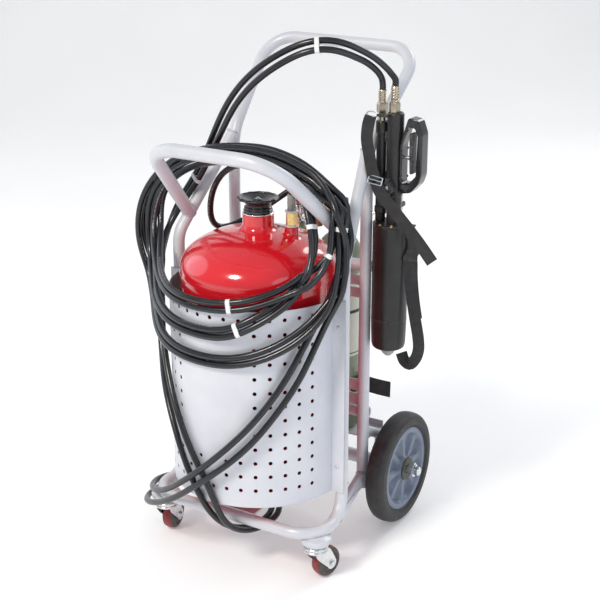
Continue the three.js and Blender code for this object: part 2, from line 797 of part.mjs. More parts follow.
const linkHeight = () => (GRIP.low + GRIP.high) / 2 - 4;

/** Trigger bar hung from the grip pin, and the link rod it pulls. */
function addTrigger(inner) {
  const { out, half, low, high } = GRIP;
  const x = out - 26;
  const bar = new THREE.Shape();
  bar.moveTo(x - 5, high - 32);
  bar.lineTo(x + 4, high - 29.5);
  bar.lineTo(x + 3.5, low + 44);
  bar.lineTo(x - 3, low + 44);
  bar.closePath();
  const blade = new THREE.ExtrudeGeometry(bar, { depth: inner - 7, bevelEnabled: false });
  blade.rotateX(Math.PI / 2);
  blade.translate(0, (inner - 7) / 2, 0);
  add("gun_trigger", closed(blade), black(), gun);
  const height = linkHeight();
  const link = line(vec(BODY.x + BODY.r + 1, 0, height), vec(x - 5.5, 0, height));
  add("trigger_link", rod(link, 3, 8), zinc(), gun);
}

/** Round valve knob on the front of the gun body. */
function addKnob() {
  const knob = join([disc(13, 0, 16, 10), block([-4, 4], [-19, 19], [8, 18])]);
  knob.rotateX(Math.PI / 2);
  knob.translate(BODY.x, -BODY.r - GAP, 790);
  add("gun_valve_knob", knob, black(), gun);
}

/** Flat webbing along [x, z] points, as wide as given in y. */
function ribbon(points, width, thick = 2) {
  const outline = [];
  points.forEach(([x, z], i) => {
    const [ax, az] = points[Math.max(i - 1, 0)];
    const [bx, bz] = points[Math.min(i + 1, points.length - 1)];
    const length = Math.hypot(bx - ax, bz - az);
    outline.push([x, z, (-(bz - az) / length) * (thick / 2), ((bx - ax) / length) * (thick / 2)]);
  });
  const near = outline.map(([x, z, nx, nz]) => new THREE.Vector2(x + nx, z + nz));
  const far = outline.map(([x, z, nx, nz]) => new THREE.Vector2(x - nx, z - nz)).reverse();
  const band = new THREE.ExtrudeGeometry(new THREE.Shape([...near, ...far]), {
    depth: width,
    bevelEnabled: false,
  });
  band.rotateX(Math.PI / 2);
  return closed(band.translate(0, width / 2, 0));
}

/** Flat webbing through the points, its broad side turned to face. */
function strip(points, face, steps = 20) {
  const curve = new THREE.CatmullRomCurve3(points, false, "centripetal");
  const places = [];
  const index = [];
  const corners = [[1, 1], [-1, 1], [-1, -1], [1, -1]];
  for (let i = 0; i <= steps; i += 1) {
    const along = curve.getTangent(i / steps);
    const over = face.clone().addScaledVector(along, -face.dot(along)).normalize();
    const across = over.clone().cross(along);
    for (const [u, v] of corners) {
      const corner = curve.getPoint(i / steps).addScaledVector(across, u * SLING.half);
      places.push(...corner.addScaledVector(over, (v * SLING.thick) / 2).toArray());
    }
  }
  for (let a = 0; a < 4 * steps; a += 1) {
    const b = a % 4 === 3 ? a - 3 : a + 1;
    index.push(a, b, a + 4, b, b + 4, a + 4);
  }
  const end = 4 * steps;
  index.push(0, 3, 2, 0, 2, 1, end, end + 1, end + 2, end, end + 2, end + 3);
  const geometry = new THREE.BufferGeometry();
  geometry.setAttribute("position", new THREE.Float32BufferAttribute(places, 3));
  geometry.setIndex(index);
  return closed(geometry);
}

function addSlings() {
  const { y } = SLING;
  const upper = [
    vec(-37, -26, 930), vec(-37, -38, 914), vec(-34, y, 886), vec(-28, y, 856), vec(-22, y, 828),
    vec(-13, y, 803),
    vec(0, y, 780), vec(20, y, 760), vec(44, y, 736), vec(68, y, 712), vec(94, y, 684), vec(118, y, 656),
  ];
  add("gun_sling_upper", strip(upper, vec(0.49, -0.8, 0.34)), webbing(), gun);
  const lower = [
    [46, 700], [56, 660], [47, 632], [52, 560], [68, 480], [62, 440], [46, 420], [38, 428],
  ];
  add("gun_sling_lower", ribbon(lower, 24), webbing(), gun);
}

// ---------------------------------------------------------------- hoses
/** Spiral loop of the coil: whole turns at the top, half turns at the bottom, hung over the shield. */
function coilCentre(turn) {
  const { clamp, smoothstep } = THREE.MathUtils;
  const angle = 2 * Math.PI * turn;
  const lift = 0.5 + 0.5 * Math.cos(angle);
  const sway = Math.sin(angle);
  const z = (636 - 57 * turn) * (1 - lift) + (832 + 11 * turn) * lift;
  const x = sway > 0 ? (204 + 9 * turn) * sway ** 0.85 : -(226 + 26 * turn) * Math.abs(sway) ** 0.8;
  const upperY = sway > 0 ? 20 - 0.15 * x : 20 + 0.05 * x;
  const front = -COIL_REACH * (1 - Math.min(1, Math.abs(x) / (1.3 * COIL_REACH)) ** 2.5);
  const share = clamp((805 - z) / 195, 0, 1);
  const crossing = smoothstep(turn, 1, 1.2) * (1 - smoothstep(turn, 1.4, 1.5));
  return vec(x - 42 * crossing, upperY * (1 - share) + front * share - 22 * crossing, z);
}

/** The second hose lies in front of the first at the top and sides, and below it at the bottom. */
function coilPoint(turn, strand) {
  const centre = coilCentre(turn);
  const along = coilCentre(turn + 0.01).sub(coilCentre(turn - 0.01)).normalize();
  const front = vec(0, -1, 0);
  front.addScaledVector(along, -front.dot(along)).normalize();
  const outward = front.clone().cross(along);
  const low = 0.5 - 0.5 * Math.cos(2 * Math.PI * turn);
  const roll = (Math.PI / 2) * THREE.MathUtils.smoothstep(low, 0.45, 0.95);
  const apart = HOSE.pair * strand;
  centre.addScaledVector(front, apart * Math.cos(roll));
  return centre.addScaledVector(outward, apart * Math.sin(roll));
}

function coil(strand, first) {
  const points = [];
  for (let i = first; i <= HOSE.turns * HOSE.steps; i += 1) {
    points.push(coilPoint(i / HOSE.steps, strand));
  }
  return points;
}

/** Points of the air hose and the water hose: from the coil down across the shield, round the left corner,
 * under the tank, up the left side and over to the gun. */
const LONG_LOOP = [
  [[212, -52, 630], [224, -64, 622]], [[188, -78, 572], [198, -67, 560]],
  [[172, -103, 523], [182, -90, 505]], [[149, -134, 456], [166, -112, 450]],
  [[125, -158, 409], [136, -148, 387]], [[93, -181, 359], [105, -174, 335]],
  [[51, -200, 311], [65, -196, 288]], [[-5, -208, 256], [11, -208, 240]],
  [[-52, -203, 216], [-38, -206, 200]], [[-93, -190, 184], [-80, -196, 166]],
  [[-136, -170, 154], [-126, -179, 134]], [[-176, -147, 133], [-174, -156, 108]],
  [[-210, -116, 122], [-215, -131, 90]], [[-231, -62, 112], [-243, -80, 80]],
  [[-228, -8, 98], [-240, -18, 79]], [[-206, 54, 91], [-204, 54, 75]], [[-160, 92, 90], [-152, 98, 75]],
  [[-104, 84, 92], [-97, 98, 84]], [[-36, 46, 92], [-29, 60, 92]], [[22, 12, 92], [33, 23, 92]],
  [[48, -26, 88], [63, -22, 88]], [[44, -74, 82], [59, -77, 82]], [[27, -118, 83], [42, -123, 83]],
  [[8, -156, 106], [27, -160, 106]], [[-8, -184, 144], [21, -187, 144]],
  [[-22, -193, 178], [8, -194, 194]], [[-46, -189, 214], [-22, -193, 242]],
  [[-80, -177, 268], [-60, -184, 296]], [[-115, -157, 324], [-98, -167, 358]],
  [[-158, -122, 376], [-144, -131, 426]], [[-200, -72, 428], [-188, -84, 494]],
  [[-222, -48, 492], [-212, -56, 560]], [[-234, -30, 560], [-228, -34, 622]],
  [[-246, 2, 622], [-236, 4, 664]], [[-246, 34, 676], [-228, 34, 700]], [[-230, 46, 720], [-208, 44, 738]],
  [[-196, 47, 765], [-174, 42, 776]], [[-168, 46, 812], [-145, 37, 822]],
  [[-138, 43, 872], [-112, 29, 874]], [[-99, 40, 944], [-73, 26, 942]], [[-48, 38, 1003], [-23, 24, 996]],
  [[20, 42, 1052], [37, 28, 1039]], [[86, 58, 1084], [96, 45, 1070]], [[127, 78, 1087], [134, 66, 1072]],
  [[160, 108, 1070], [162, 98, 1054]], [[190, 146, 1040], [180, 138, 1029]],
];

/** Centre lines of the round bars that the hoses hang on or pass by. */
function hosePosts() {
  const { x, y, z, rootX, rootY, rootZ, r } = HOSE_REST;
  return SIDES.flatMap((side) => [
    { from: vec(side * rootX, rootY, rootZ), to: vec(side * x, y, z), r },
    { from: vec(side * FRONT.x, FRONT.y, BASE.z), to: vec(side * FRONT.x, FRONT.y, FRONT.z), r: TUBE_R },
  ]);
}

/** Moves one point out of a round bar. */
function clearPost(point, post) {
  const nearest = new THREE.Line3(post.from, post.to).closestPointToPoint(point, true, vec(0, 0, 0));
  const away = point.clone().sub(nearest);
  const reach = post.r + HOSE.r + 2 * SETTLE.gap;
  if (away.length() < reach) {
    point.copy(nearest).add(away.setLength(reach));
  }
}

/** Moves two points of the hoses apart when they are closer than a hose is wide. */
function clearPair(a, b) {
  const apart = b.at.clone().sub(a.at);
  const lack = 2 * HOSE.r + SETTLE.gap - apart.length();
  if (lack > 0) {
    apart.setLength((lack / 2) * SETTLE.share);
    a.at.addScaledVector(apart, -a.free);
    b.at.addScaledVector(apart, b.free);
  }
}

/** Both hoses eased until no part of them lies in the other, in itself or in a bar. */
function settle(strands) {
  const posts = hosePosts();
  const all = strands.flatMap((points, strand) =>
    points.map((at, i) => ({ at, strand, i, free: Math.min(i, points.length - 1 - i) < SETTLE.ends ? 0 : 1 })),
  );
  for (let round = 0; round < SETTLE.rounds; round += 1) {
    strands.forEach(relax);
    for (let i = 0; i < all.length; i += 1) {
      for (let j = i + 1; j < all.length; j += 1) {
        const neighbours = all[i].strand === all[j].strand && j - i < SETTLE.near;
        if (!neighbours && Math.abs(all[i].at.z - all[j].at.z) < 2 * HOSE.r + SETTLE.gap) {
          clearPair(all[i], all[j]);
        }
      }
    }
    for (const { at, free } of all) {
      posts.filter(() => free).forEach((post) => clearPost(at, post));
    }
  }
}

/** Evens out one hose a little. */
function relax(points) {
  const before = points.map((point) => point.clone());
  for (let i = SETTLE.ends; i < points.length - SETTLE.ends; i += 1) {
    const middle = before[i - 1].clone().add(before[i + 1]).multiplyScalar(0.5);
    points[i].lerp(middle, SETTLE.ease);
  }
}

function hosePoints(strand, start, end) {
  const loop = LONG_LOOP.map((pair) => vec(...pair[strand]));
  const corners = [...start.points, ...coil(strand, start.first), ...loop, ...end];
  const curve = new THREE.CatmullRomCurve3(corners, false, "centripetal");
  curve.arcLengthDivisions = 4 * SETTLE.points;
  return curve.getSpacedPoints(SETTLE.points);
}

function addHoses() {
  const { y } = REGULATOR;
  const airStart = [
    vec(0, y, 716), vec(0, y, 730), vec(-36, 216, 738), vec(-106, 168, 686), vec(-148, 120, 656),
    vec(-167, 80, 655), vec(-165, 63, 695), vec(-153, 54, 745), vec(-126, 46, 790), vec(-86, 38, 818),
    vec(-40, 30, 830),
  ];
  const coupling = vec(GUN.x + BODY.x - 3, GUN.y, GUN.bodyTop + 37);
  const airEnd = [vec(-10, -3, 28), vec(0, 0, 14), vec(0, 0, 0)].map((step) => step.add(coupling));
  const outlet = vec(OUTLET.x, OUTLET.y, OUTLET.top + 67);
  const waterStart = [outlet, outlet.clone().add(vec(0, 0, 14)), vec(77, 4, 815), vec(98, -9, 822)];
  const socket = vec(GUN.x + WATER.x, GUN.y, WATER.top + 60);
  const waterEnd = [vec(-1, -8, 30), vec(0, 0, 14), vec(0, 0, 0)].map((step) => step.add(socket));
  const strands = [
    hosePoints(0, { points: airStart, first: 1 }, airEnd), hosePoints(1, { points: waterStart, first: 3 }, waterEnd),
  ];
  settle(strands);
  ["air_hose", "water_hose"].forEach((name, strand) => {
    const points = strands[strand].filter((_, i) => i % HOSE.every === 0);
    add(name, rod(new PointPath(points), HOSE.r, HOSE.sides), rubber());
  });
}

addMainTubes();
addBaseTubes();
addCrossTubes();
addRackPlates();
addTankSupport();
addGunHook();
addAxle();
addRearWheels();
addCasters();
addTank();
addFiller();
addOutlet();
addShield();
addCylinders();
addCylinderStrap();
addRegulator();
addSupplyPipe();
addBarrel();
addGunBody();
addWaterTube();
addGrip();
addKnob();
addSlings();
addHoses();

const extent = new THREE.Box3().setFromObject(trolley);
const middle = extent.getCenter(vec(0, 0, 0));
trolley.position.set(-middle.x, -middle.y, -extent.min.z);

export default trolley;
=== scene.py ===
"""Looks of the wheeled water-mist fire extinguisher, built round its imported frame.

Lengths here are millimetres, measured from the tank's axis and from the floor, +X to the gun side, -Y to the
perforated shield and +Z up. They become metres of the shared frame when a mesh is made.
"""

import json
import math
import random

import bmesh
import bpy
from mathutils import Matrix, Vector
from mathutils.geometry import intersect_point_line, tessellate_polygon
from mathutils.kdtree import KDTree

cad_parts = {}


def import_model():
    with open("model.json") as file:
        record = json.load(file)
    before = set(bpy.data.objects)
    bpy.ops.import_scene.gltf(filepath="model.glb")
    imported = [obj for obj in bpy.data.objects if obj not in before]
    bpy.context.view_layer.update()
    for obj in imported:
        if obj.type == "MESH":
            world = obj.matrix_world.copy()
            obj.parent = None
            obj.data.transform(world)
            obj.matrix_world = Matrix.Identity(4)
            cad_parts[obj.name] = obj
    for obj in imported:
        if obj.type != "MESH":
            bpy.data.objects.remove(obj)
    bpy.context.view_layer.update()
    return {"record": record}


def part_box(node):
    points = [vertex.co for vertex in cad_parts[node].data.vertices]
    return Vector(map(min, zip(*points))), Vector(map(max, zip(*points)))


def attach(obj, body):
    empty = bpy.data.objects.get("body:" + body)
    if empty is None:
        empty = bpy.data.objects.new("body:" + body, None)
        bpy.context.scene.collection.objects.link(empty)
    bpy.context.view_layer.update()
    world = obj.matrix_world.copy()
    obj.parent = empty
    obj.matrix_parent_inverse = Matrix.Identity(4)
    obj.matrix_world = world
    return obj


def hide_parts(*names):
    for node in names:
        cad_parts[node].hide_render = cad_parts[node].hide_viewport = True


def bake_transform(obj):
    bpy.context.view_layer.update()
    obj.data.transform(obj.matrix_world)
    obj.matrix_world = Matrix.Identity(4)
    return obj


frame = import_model()

MM = 0.001
tank_low, tank_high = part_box("tank")
AXIS = Vector(((tank_low.x + tank_high.x) / 2, (tank_low.y + tank_high.y) / 2, 0))
UP = Vector((0, 0, 1))
SIDES = {"left": -1, "right": 1}
random.seed(7)


def extent(node):
    """Lowest and highest corner of a CAD node, in this script's millimetres."""
    low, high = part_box(node)
    return (low - AXIS) / MM, (high - AXIS) / MM


def centre(node):
    low, high = extent(node)
    return (low + high) / 2


def world(point):
    return Vector(point) * MM + AXIS


# ---------------------------------------------------------------- driving dimensions
TUBE_R = 12.5
TUBE_WALL = 2
POST_X = extent("upper_rack_plate")[1].x
POST_Y = 157
POST_FOOT = extent("rear_frame_tube")[0].z
POST_BEND = 857
HANDLE_CORNER = Vector((184, 340, 1036))
HANDLE_BEND, HANDLE_RISE = 62, 90
SHOULDER = Vector((200, 0, 666))
BASE_CORNER = Vector((209, -120, 114))
SHOULDER_BEND, BASE_BEND, FOOT_BEND = 60, 62, 50
BASE_BACK_Z, BASE_FRONT_Y = 128, -22
REST_CORNER = Vector((143, -169, 892))
REST_ROOT = Vector((193, 31, 704))
REST_BEND, REST_R = 88, 14
CROSS_Y = 176

TANK_R = (tank_high.x - tank_low.x) / 2 / MM
TANK_BOTTOM = tank_low.z / MM
TANK_WALL_TOP, TANK_TOP, TANK_DISH = 628, 708, 45
NECK_R, NECK_BORE, NECK_TOP = 32, 27.5, 739
NECK_FILLET, NECK_FLARE = 12, 10
OUTLET, OUTLET_R = Vector((70, 15, 718)), 14.5
INLET, INLET_R = Vector((41, 66, 718)), 13
SHIELD_R, SHIELD_THICK = 182, 1.5

WHEEL_CENTRE_Y = centre("rear_tyre_right").y
WHEEL_R = centre("rear_tyre_right").z
CYLINDER = centre("air_cylinder_right")
CYLINDER_R, CYLINDER_SHOULDER = 50, 592
LABEL_LOW, LABEL_HIGH = 372, 560
GUN_X, GUN_Y = centre("gun_barrel").x, centre("gun_barrel").y
GUN_LOW = extent("gun_barrel")[0].z
FLANGE = extent("gun_barrel")[1].z
HOSE_R = 6.6


# ---------------------------------------------------------------- materials
class Look:
    """A Principled material whose inputs are driven by procedural nodes."""

    def __init__(self, name):
        self.material = bpy.data.materials.new(name)
        self.material.use_nodes = True
        self.nodes = self.material.node_tree.nodes
        self.links = self.material.node_tree.links
        self.shader = self.nodes["Principled BSDF"]
        self.place = self.add("ShaderNodeTexCoord").outputs

    def add(self, kind, **values):
        node = self.nodes.new(kind)
        for name, value in values.items():
            self.put(node, name, value)
        return node

    def put(self, node, name, value):
        if hasattr(node, name) and name not in node.inputs:
            setattr(node, name, value)
            return
        socket = node.inputs[int(name[1:]) if name[0] == "i" and name[1:].isdigit() else name]
        if isinstance(value, bpy.types.NodeSocket):
            self.links.new(value, socket)
        else:
            socket.default_value = value

    def set(self, **values):
        for name, value in values.items():
            self.put(self.shader, name.replace("_", " "), value)
        return self

    def noise(self, scale, detail=3, rough=0.55, where=None):
        where = where or self.place["Object"]
        return self.add("ShaderNodeTexNoise", Vector=where, Scale=scale, Detail=detail,
                        Roughness=rough).outputs[0]

    def ramp(self, factor, low, high, start=0.0, end=1.0):
        """Maps factor from low..high onto start..end, clamped."""
        node = self.add("ShaderNodeMapRange", Value=factor)
        for name, value in (("From Min", low), ("From Max", high), ("To Min", start), ("To Max", end)):
            node.inputs[name].default_value = value
        return node.outputs[0]

    def math(self, operation, a, b=0.0):
        node = self.nodes.new("ShaderNodeMath")
        node.operation = operation
        self.put(node, "i0", a)
        self.put(node, "i1", b)
        return node.outputs[0]

    def mix(self, factor, a, b):
        node = self.nodes.new("ShaderNodeMix")
        node.data_type = "RGBA"
        for index, value in ((0, factor), (6, a), (7, b)):
            self.put(node, f"i{index}", value)
        return node.outputs[2]

    def bump(self, height, strength, distance=0.0005):
        node = self.add("ShaderNodeBump", Strength=strength, Distance=distance, Height=height)
        return node.outputs[0]

    def uv(self, u_scale=1.0, v_scale=1.0):
        parts = self.add("ShaderNodeSeparateXYZ", Vector=self.place["UV"]).outputs
        return self.math("MULTIPLY", parts[0], u_scale), self.math("MULTIPLY", parts[1], v_scale)


def rgb(r, g, b):
    return (r, g, b, 1.0)


def surface(name, colour, second, rough, metal=0.0, grain=(700, 0.05), blotch=9, scuff=0.0, coat=0.0,
            wear=None):
    """Colour drifting between two tones, fine grain in the surface, scuffs and worn edges."""
    look = Look(name)
    tone = look.ramp(look.noise(blotch, 4), 0.35, 0.68)
    shade = look.mix(tone, rgb(*colour), rgb(*second))
    roughness = look.ramp(look.noise(blotch * 5, 4), 0.3, 0.7, rough * 0.85, min(1.0, rough * 1.2))
    if scuff:
        streak = look.add("ShaderNodeMapping", Vector=look.place["Object"],
                          Scale=(1.0, 1.0, 0.18)).outputs[0]
        marks = look.ramp(look.noise(130, 6, 0.7, streak), 0.62, 0.74, 0.0, scuff)
        shade = look.mix(marks, shade, rgb(*[c * 0.45 for c in second]))
        roughness = look.math("ADD", roughness, look.math("MULTIPLY", marks, 0.3))
    if wear:
        edge = look.ramp(look.add("ShaderNodeNewGeometry").outputs["Pointiness"], 0.51, 0.56)
        edge = look.math("MULTIPLY", edge, look.ramp(look.noise(220, 4), 0.4, 0.6))
        shade = look.mix(edge, shade, rgb(*wear))
    bump = look.bump(look.noise(grain[0], 3), grain[1])
    look.set(Base_Color=shade, Roughness=roughness, Metallic=metal, Coat_Weight=coat, Coat_Roughness=0.06,
             Normal=bump)
    return look


def hose_look():
    """Smooth black cover with a faint wrapped pattern and one broken pale line along it."""
    look = Look("hose_cover")
    around, along = look.uv()
    slant = look.math("ADD", look.math("MULTIPLY", along, 260.0), look.math("MULTIPLY", around, 6.2832 * 3))
    wrap = look.math("SINE", slant)
    on_line = look.math("LESS_THAN", look.math("ABSOLUTE", look.math("SUBTRACT", around, 0.62)), 0.035)
    dashes = look.add("ShaderNodeTexNoise", Scale=420.0, Detail=2.0, noise_dimensions="1D",
                      W=along).outputs[0]
    group = look.add("ShaderNodeTexNoise", Scale=5.0, Detail=0.0, noise_dimensions="1D", W=along).outputs[0]
    ink = look.math("MULTIPLY", look.math("GREATER_THAN", dashes, 0.5),
                    look.math("GREATER_THAN", group, 0.56))
    ink = look.math("MULTIPLY", look.math("MULTIPLY", ink, on_line),
                    look.ramp(look.noise(300), 0.3, 0.6, 0.1, 0.55))
    dust = look.ramp(look.noise(28, 5), 0.45, 0.75, 0.0, 0.5)
    # Both tones are blue-black: the blue is a painted reflection matching the hose's bluish highlights; the
    # noise between the tones is dust.
    shade = look.mix(dust, rgb(0.004, 0.005, 0.008), rgb(0.011, 0.014, 0.022))
    shade = look.mix(ink, shade, rgb(0.55, 0.56, 0.58))
    height = look.math("ADD", look.math("MULTIPLY", wrap, 0.5), look.noise(900))
    roughness = look.ramp(look.noise(40, 4), 0.3, 0.7, 0.26, 0.4)
    look.set(Base_Color=shade, Roughness=roughness, Normal=look.bump(height, 0.12, 0.0003), Coat_Weight=0.3)
    return look


def webbing_look():
    """Woven nylon: ribs across the strap, a stitched line along each edge."""
    look = Look("webbing_weave")
    around, along = look.uv()
    rib = look.math("SINE", look.math("MULTIPLY", along, 2600.0))
    cord = look.math("SINE", look.math("MULTIPLY", around, 190.0))
    weave = look.math("MULTIPLY", rib, cord)
    shade = look.mix(look.ramp(weave, -0.6, 1.0), rgb(0.008, 0.008, 0.009), rgb(0.04, 0.04, 0.044))
    fuzz = look.ramp(look.noise(60, 5), 0.4, 0.75, 0.0, 0.4)
    shade = look.mix(fuzz, shade, rgb(0.055, 0.053, 0.05))
    look.set(Base_Color=shade, Roughness=0.82, Normal=look.bump(weave, 0.6, 0.0006), Sheen_Weight=0.25)
    return look


def tyre_look():
    """Solid rubber: fine moulding rings on the sidewall and grey dust in the grain."""
    look = Look("tyre_tread")
    dust = look.ramp(look.noise(34, 6, 0.65), 0.42, 0.72, 0.0, 0.75)
    shade = look.mix(dust, rgb(0.022, 0.022, 0.024), rgb(0.075, 0.072, 0.068))
    _, along = look.uv()
    rings = look.math("SINE", look.math("MULTIPLY", along, 2400.0))
    height = look.math("ADD", look.math("MULTIPLY", rings, 0.12), look.noise(650, 5))
    look.set(Base_Color=shade, Roughness=look.ramp(dust, 0.0, 0.75, 0.5, 0.85),
             Normal=look.bump(height, 0.35, 0.0006))
    return look


def sleeve_look():
    look = Look("smoky_sleeve")
    shade = look.mix(look.ramp(look.noise(30), 0.3, 0.7), rgb(0.42, 0.40, 0.36), rgb(0.66, 0.64, 0.60))
    look.set(Base_Color=shade, Roughness=0.12, Transmission_Weight=0.55, IOR=1.45)
    look.set(Normal=look.bump(look.noise(200), 0.08))
    return look


def paint_looks():
    """Powder coats and enamel of the frame, the shield and the tank, with a dark inner face for the shield
    that is painted shade seen through its holes.
    """
    silver = ((0.60, 0.61, 0.66), (0.68, 0.69, 0.72))
    return {
        "frame_paint": surface("silver_powder_coat", *silver, 0.42, 0.1, (900, 0.09), scuff=0.35, coat=0.1),
        "shield_paint": surface("shield_powder_coat", (0.62, 0.63, 0.69), (0.70, 0.71, 0.75), 0.40, 0.2,
                                (1200, 0.12), scuff=0.12),
        # Dark inner face of the shield: painted shade, so the holes read dark.
        "shield_inner_shade": surface("shield_inner_painted_shade", (0.05, 0.05, 0.055), (0.08, 0.08, 0.085), 0.6, 0.0,
                               (800, 0.1)),
        "tank_red": surface("red_enamel", (0.66, 0.006, 0.016), (0.72, 0.012, 0.022), 0.16, 0.0, (110, 0.03),
                            coat=0.9, scuff=0.05),
    }


def metal_looks():
    """Plated and plain metals."""
    return {
        "zinc_plate": surface("bright_zinc", (0.62, 0.65, 0.68), (0.78, 0.79, 0.78), 0.27, 1.0, (500, 0.08),
                              30, scuff=0.3),
        "chrome_ring": surface("polished_chrome", (0.80, 0.81, 0.83), (0.86, 0.87, 0.88), 0.09, 1.0,
                               (300, 0.02)),
        "brass_fitting": surface("turned_brass", (0.66, 0.44, 0.15), (0.80, 0.60, 0.28), 0.24, 1.0,
                                 (600, 0.06), 60),
        "nickel_brass": surface("worn_nickel", (0.42, 0.36, 0.27), (0.60, 0.54, 0.44), 0.25, 1.0,
                                (600, 0.06), 60),
    }


def cylinder_looks():
    """The cylinder's enamel and the film of its label."""
    return {
        "cylinder_paint": surface("olive_enamel", (0.17, 0.20, 0.12), (0.25, 0.28, 0.19), 0.36, 0.0,
                                  (500, 0.08), scuff=0.2, coat=0.3),
        "label_film": surface("label_film", (0.60, 0.63, 0.52), (0.68, 0.70, 0.61), 0.4, 0.0, (300, 0.03),
                              scuff=0.1),
    }


def plastic_looks():
    """Moulded plastics and the gun's coating."""
    return {
        "black_plastic": surface("black_plastic", (0.014, 0.014, 0.016), (0.028, 0.028, 0.031), 0.42, 0.0,
                                 (1500, 0.2), 40, wear=(0.09, 0.09, 0.095)),
        "black_gloss_plastic": surface("gloss_plastic", (0.010, 0.010, 0.012), (0.018, 0.018, 0.022), 0.2,
                                       0.0, (900, 0.05), 30, coat=0.4),
        "gun_black": surface("gun_coating", (0.013, 0.013, 0.013), (0.022, 0.021, 0.020), 0.36, 0.0,
                             (1300, 0.1), 25, scuff=0.2, wear=(0.08, 0.075, 0.07)),
        "grey_plastic": surface("grey_nylon", (0.15, 0.185, 0.25), (0.20, 0.235, 0.30), 0.4, 0.0,
                                (800, 0.12), 30, scuff=0.3),
        "nozzle_plastic": surface("nozzle_nylon", (0.36, 0.37, 0.38), (0.46, 0.47, 0.48), 0.3, 0.0,
                                  (600, 0.06), 40),
        "hub_olive": surface("hub_disc", (0.045, 0.05, 0.035), (0.07, 0.07, 0.05), 0.45, 0.1, (800, 0.1),
                             40),
    }


def small_looks():
    """Treads, washers, tape, welds and marks."""
    return {
        "red_tread": surface("red_tread", (0.22, 0.016, 0.016), (0.32, 0.035, 0.03), 0.4, 0.0, (400, 0.1),
                             50, scuff=0.5),
        "dark_tread": surface("dark_tread", (0.05, 0.035, 0.035), (0.10, 0.07, 0.07), 0.45, 0.0, (400, 0.1),
                              50),
        "white_washer": surface("white_washer", (0.74, 0.74, 0.72), (0.82, 0.82, 0.80), 0.4, 0.0,
                                (500, 0.05), 50),
        "tie_tape": surface("tie_tape", (0.78, 0.78, 0.78), (0.86, 0.86, 0.85), 0.35, 0.0, (400, 0.1), 60),
        "weld": surface("weld_bead", (0.52, 0.53, 0.57), (0.64, 0.65, 0.68), 0.45, 0.12, (300, 0.3), 60),
        "dial": surface("dial_face", (0.78, 0.78, 0.76), (0.84, 0.84, 0.82), 0.45, 0.0, (300, 0.02), 60),
        "dark_mark": surface("dark_mark", (0.02, 0.02, 0.02), (0.03, 0.03, 0.03), 0.5, 0.0, (300, 0.02), 60),
    }


def soft_looks():
    """Rubber, webbing and the clear sleeve."""
    return {
        "hose_rubber": hose_look(),
        "black_webbing": webbing_look(),
        "tyre_rubber": tyre_look(),
        "clear_sleeve": sleeve_look(),
    }


LOOK_GROUPS = [paint_looks, metal_looks, cylinder_looks, plastic_looks, small_looks, soft_looks]
LOOK = {name: look.material for group in LOOK_GROUPS for name, look in group().items()}


# ---------------------------------------------------------------- curves
def smoothstep(low, high, value):
    t = min(1.0, max(0.0, (value - low) / (high - low)))
    return t * t * (3 - 2 * t)


def bent_path(corners, bends, steps=12):
    """Straight runs between corners, each inner corner rounded to its bend radius."""
    points = [Vector(corners[0])]
    for i, bend in enumerate(bends, start=1):
        corner = Vector(corners[i])
        back = (Vector(corners[i - 1]) - corner).normalized()
        ahead = (Vector(corners[i + 1]) - corner).normalized()
        half = back.angle(ahead) / 2
        middle = corner + (back + ahead).normalized() * (bend / math.sin(half))
        start = corner + back * (bend / math.tan(half))
        axis = ahead.cross(back).normalized()
        for k in range(steps + 1):
            turn = Matrix.Rotation((math.pi - 2 * half) * k / steps, 3, axis)
            points.append(middle + turn @ (start - middle))
    points.append(Vector(corners[-1]))
    return points


def smooth_path(points, spacing=6.0):
    """Centripetal Catmull-Rom curve through the points, resampled about every spacing millimetres."""
    points = [Vector(p) for p in points]
    ends = [points[0] * 2 - points[1]] + points + [points[-1] * 2 - points[-2]]
    dense = []
    for p0, p1, p2, p3 in zip(ends, ends[1:], ends[2:], ends[3:]):
        t1 = math.sqrt((p1 - p0).length)
        t2 = t1 + math.sqrt((p2 - p1).length)
        t3 = t2 + math.sqrt((p3 - p2).length)
        count = max(2, round((p2 - p1).length / spacing))
        for k in range(count):
            t = t1 + (t2 - t1) * k / count
            a1 = p0 * ((t1 - t) / t1) + p1 * (t / t1)
            a2 = p1 * ((t2 - t) / (t2 - t1)) + p2 * ((t - t1) / (t2 - t1))
            a3 = p2 * ((t3 - t) / (t3 - t2)) + p3 * ((t - t2) / (t3 - t2))
            b1 = a1 * ((t2 - t) / t2) + a2 * (t / t2)
            b2 = a2 * ((t3 - t) / (t3 - t1)) + a3 * ((t - t1) / (t3 - t1))
            dense.append(b1 * ((t2 - t) / (t2 - t1)) + b2 * ((t - t1) / (t2 - t1)))
    return dense + [points[-1]]


def tangents(path, closed=False):
    count = len(path)
    found = []
    for i in range(count):
        behind = path[(i - 1) % count] if closed else path[max(i - 1, 0)]
        ahead = path[(i + 1) % count] if closed else path[min(i + 1, count - 1)]
        found.append((ahead - behind).normalized())
    return found


def carried_frames(path, up=None, closed=False):
    """Two directions across the path at each point, carried along without twist, or kept square to up."""
    along = tangents(path, closed)
    first = Vector(up) if up else (UP if abs(along[0].z) < 0.9 else Vector((1, 0, 0)))
    across = (first - along[0] * first.dot(along[0])).normalized()
    frames = []
    for tangent in along:
        if up is not None:
            across = Vector(up)
        across = (across - tangent * across.dot(tangent)).normalized()
        frames.append((across, tangent.cross(across)))
    return frames


def upright(x=0.0, y=0.0):
    """Placement that stands a flat outline up along z, its thickness running to -Y."""
    return Matrix(((1, 0, 0, x), (0, 0, -1, y), (0, 1, 0, 0), (0, 0, 0, 1)))


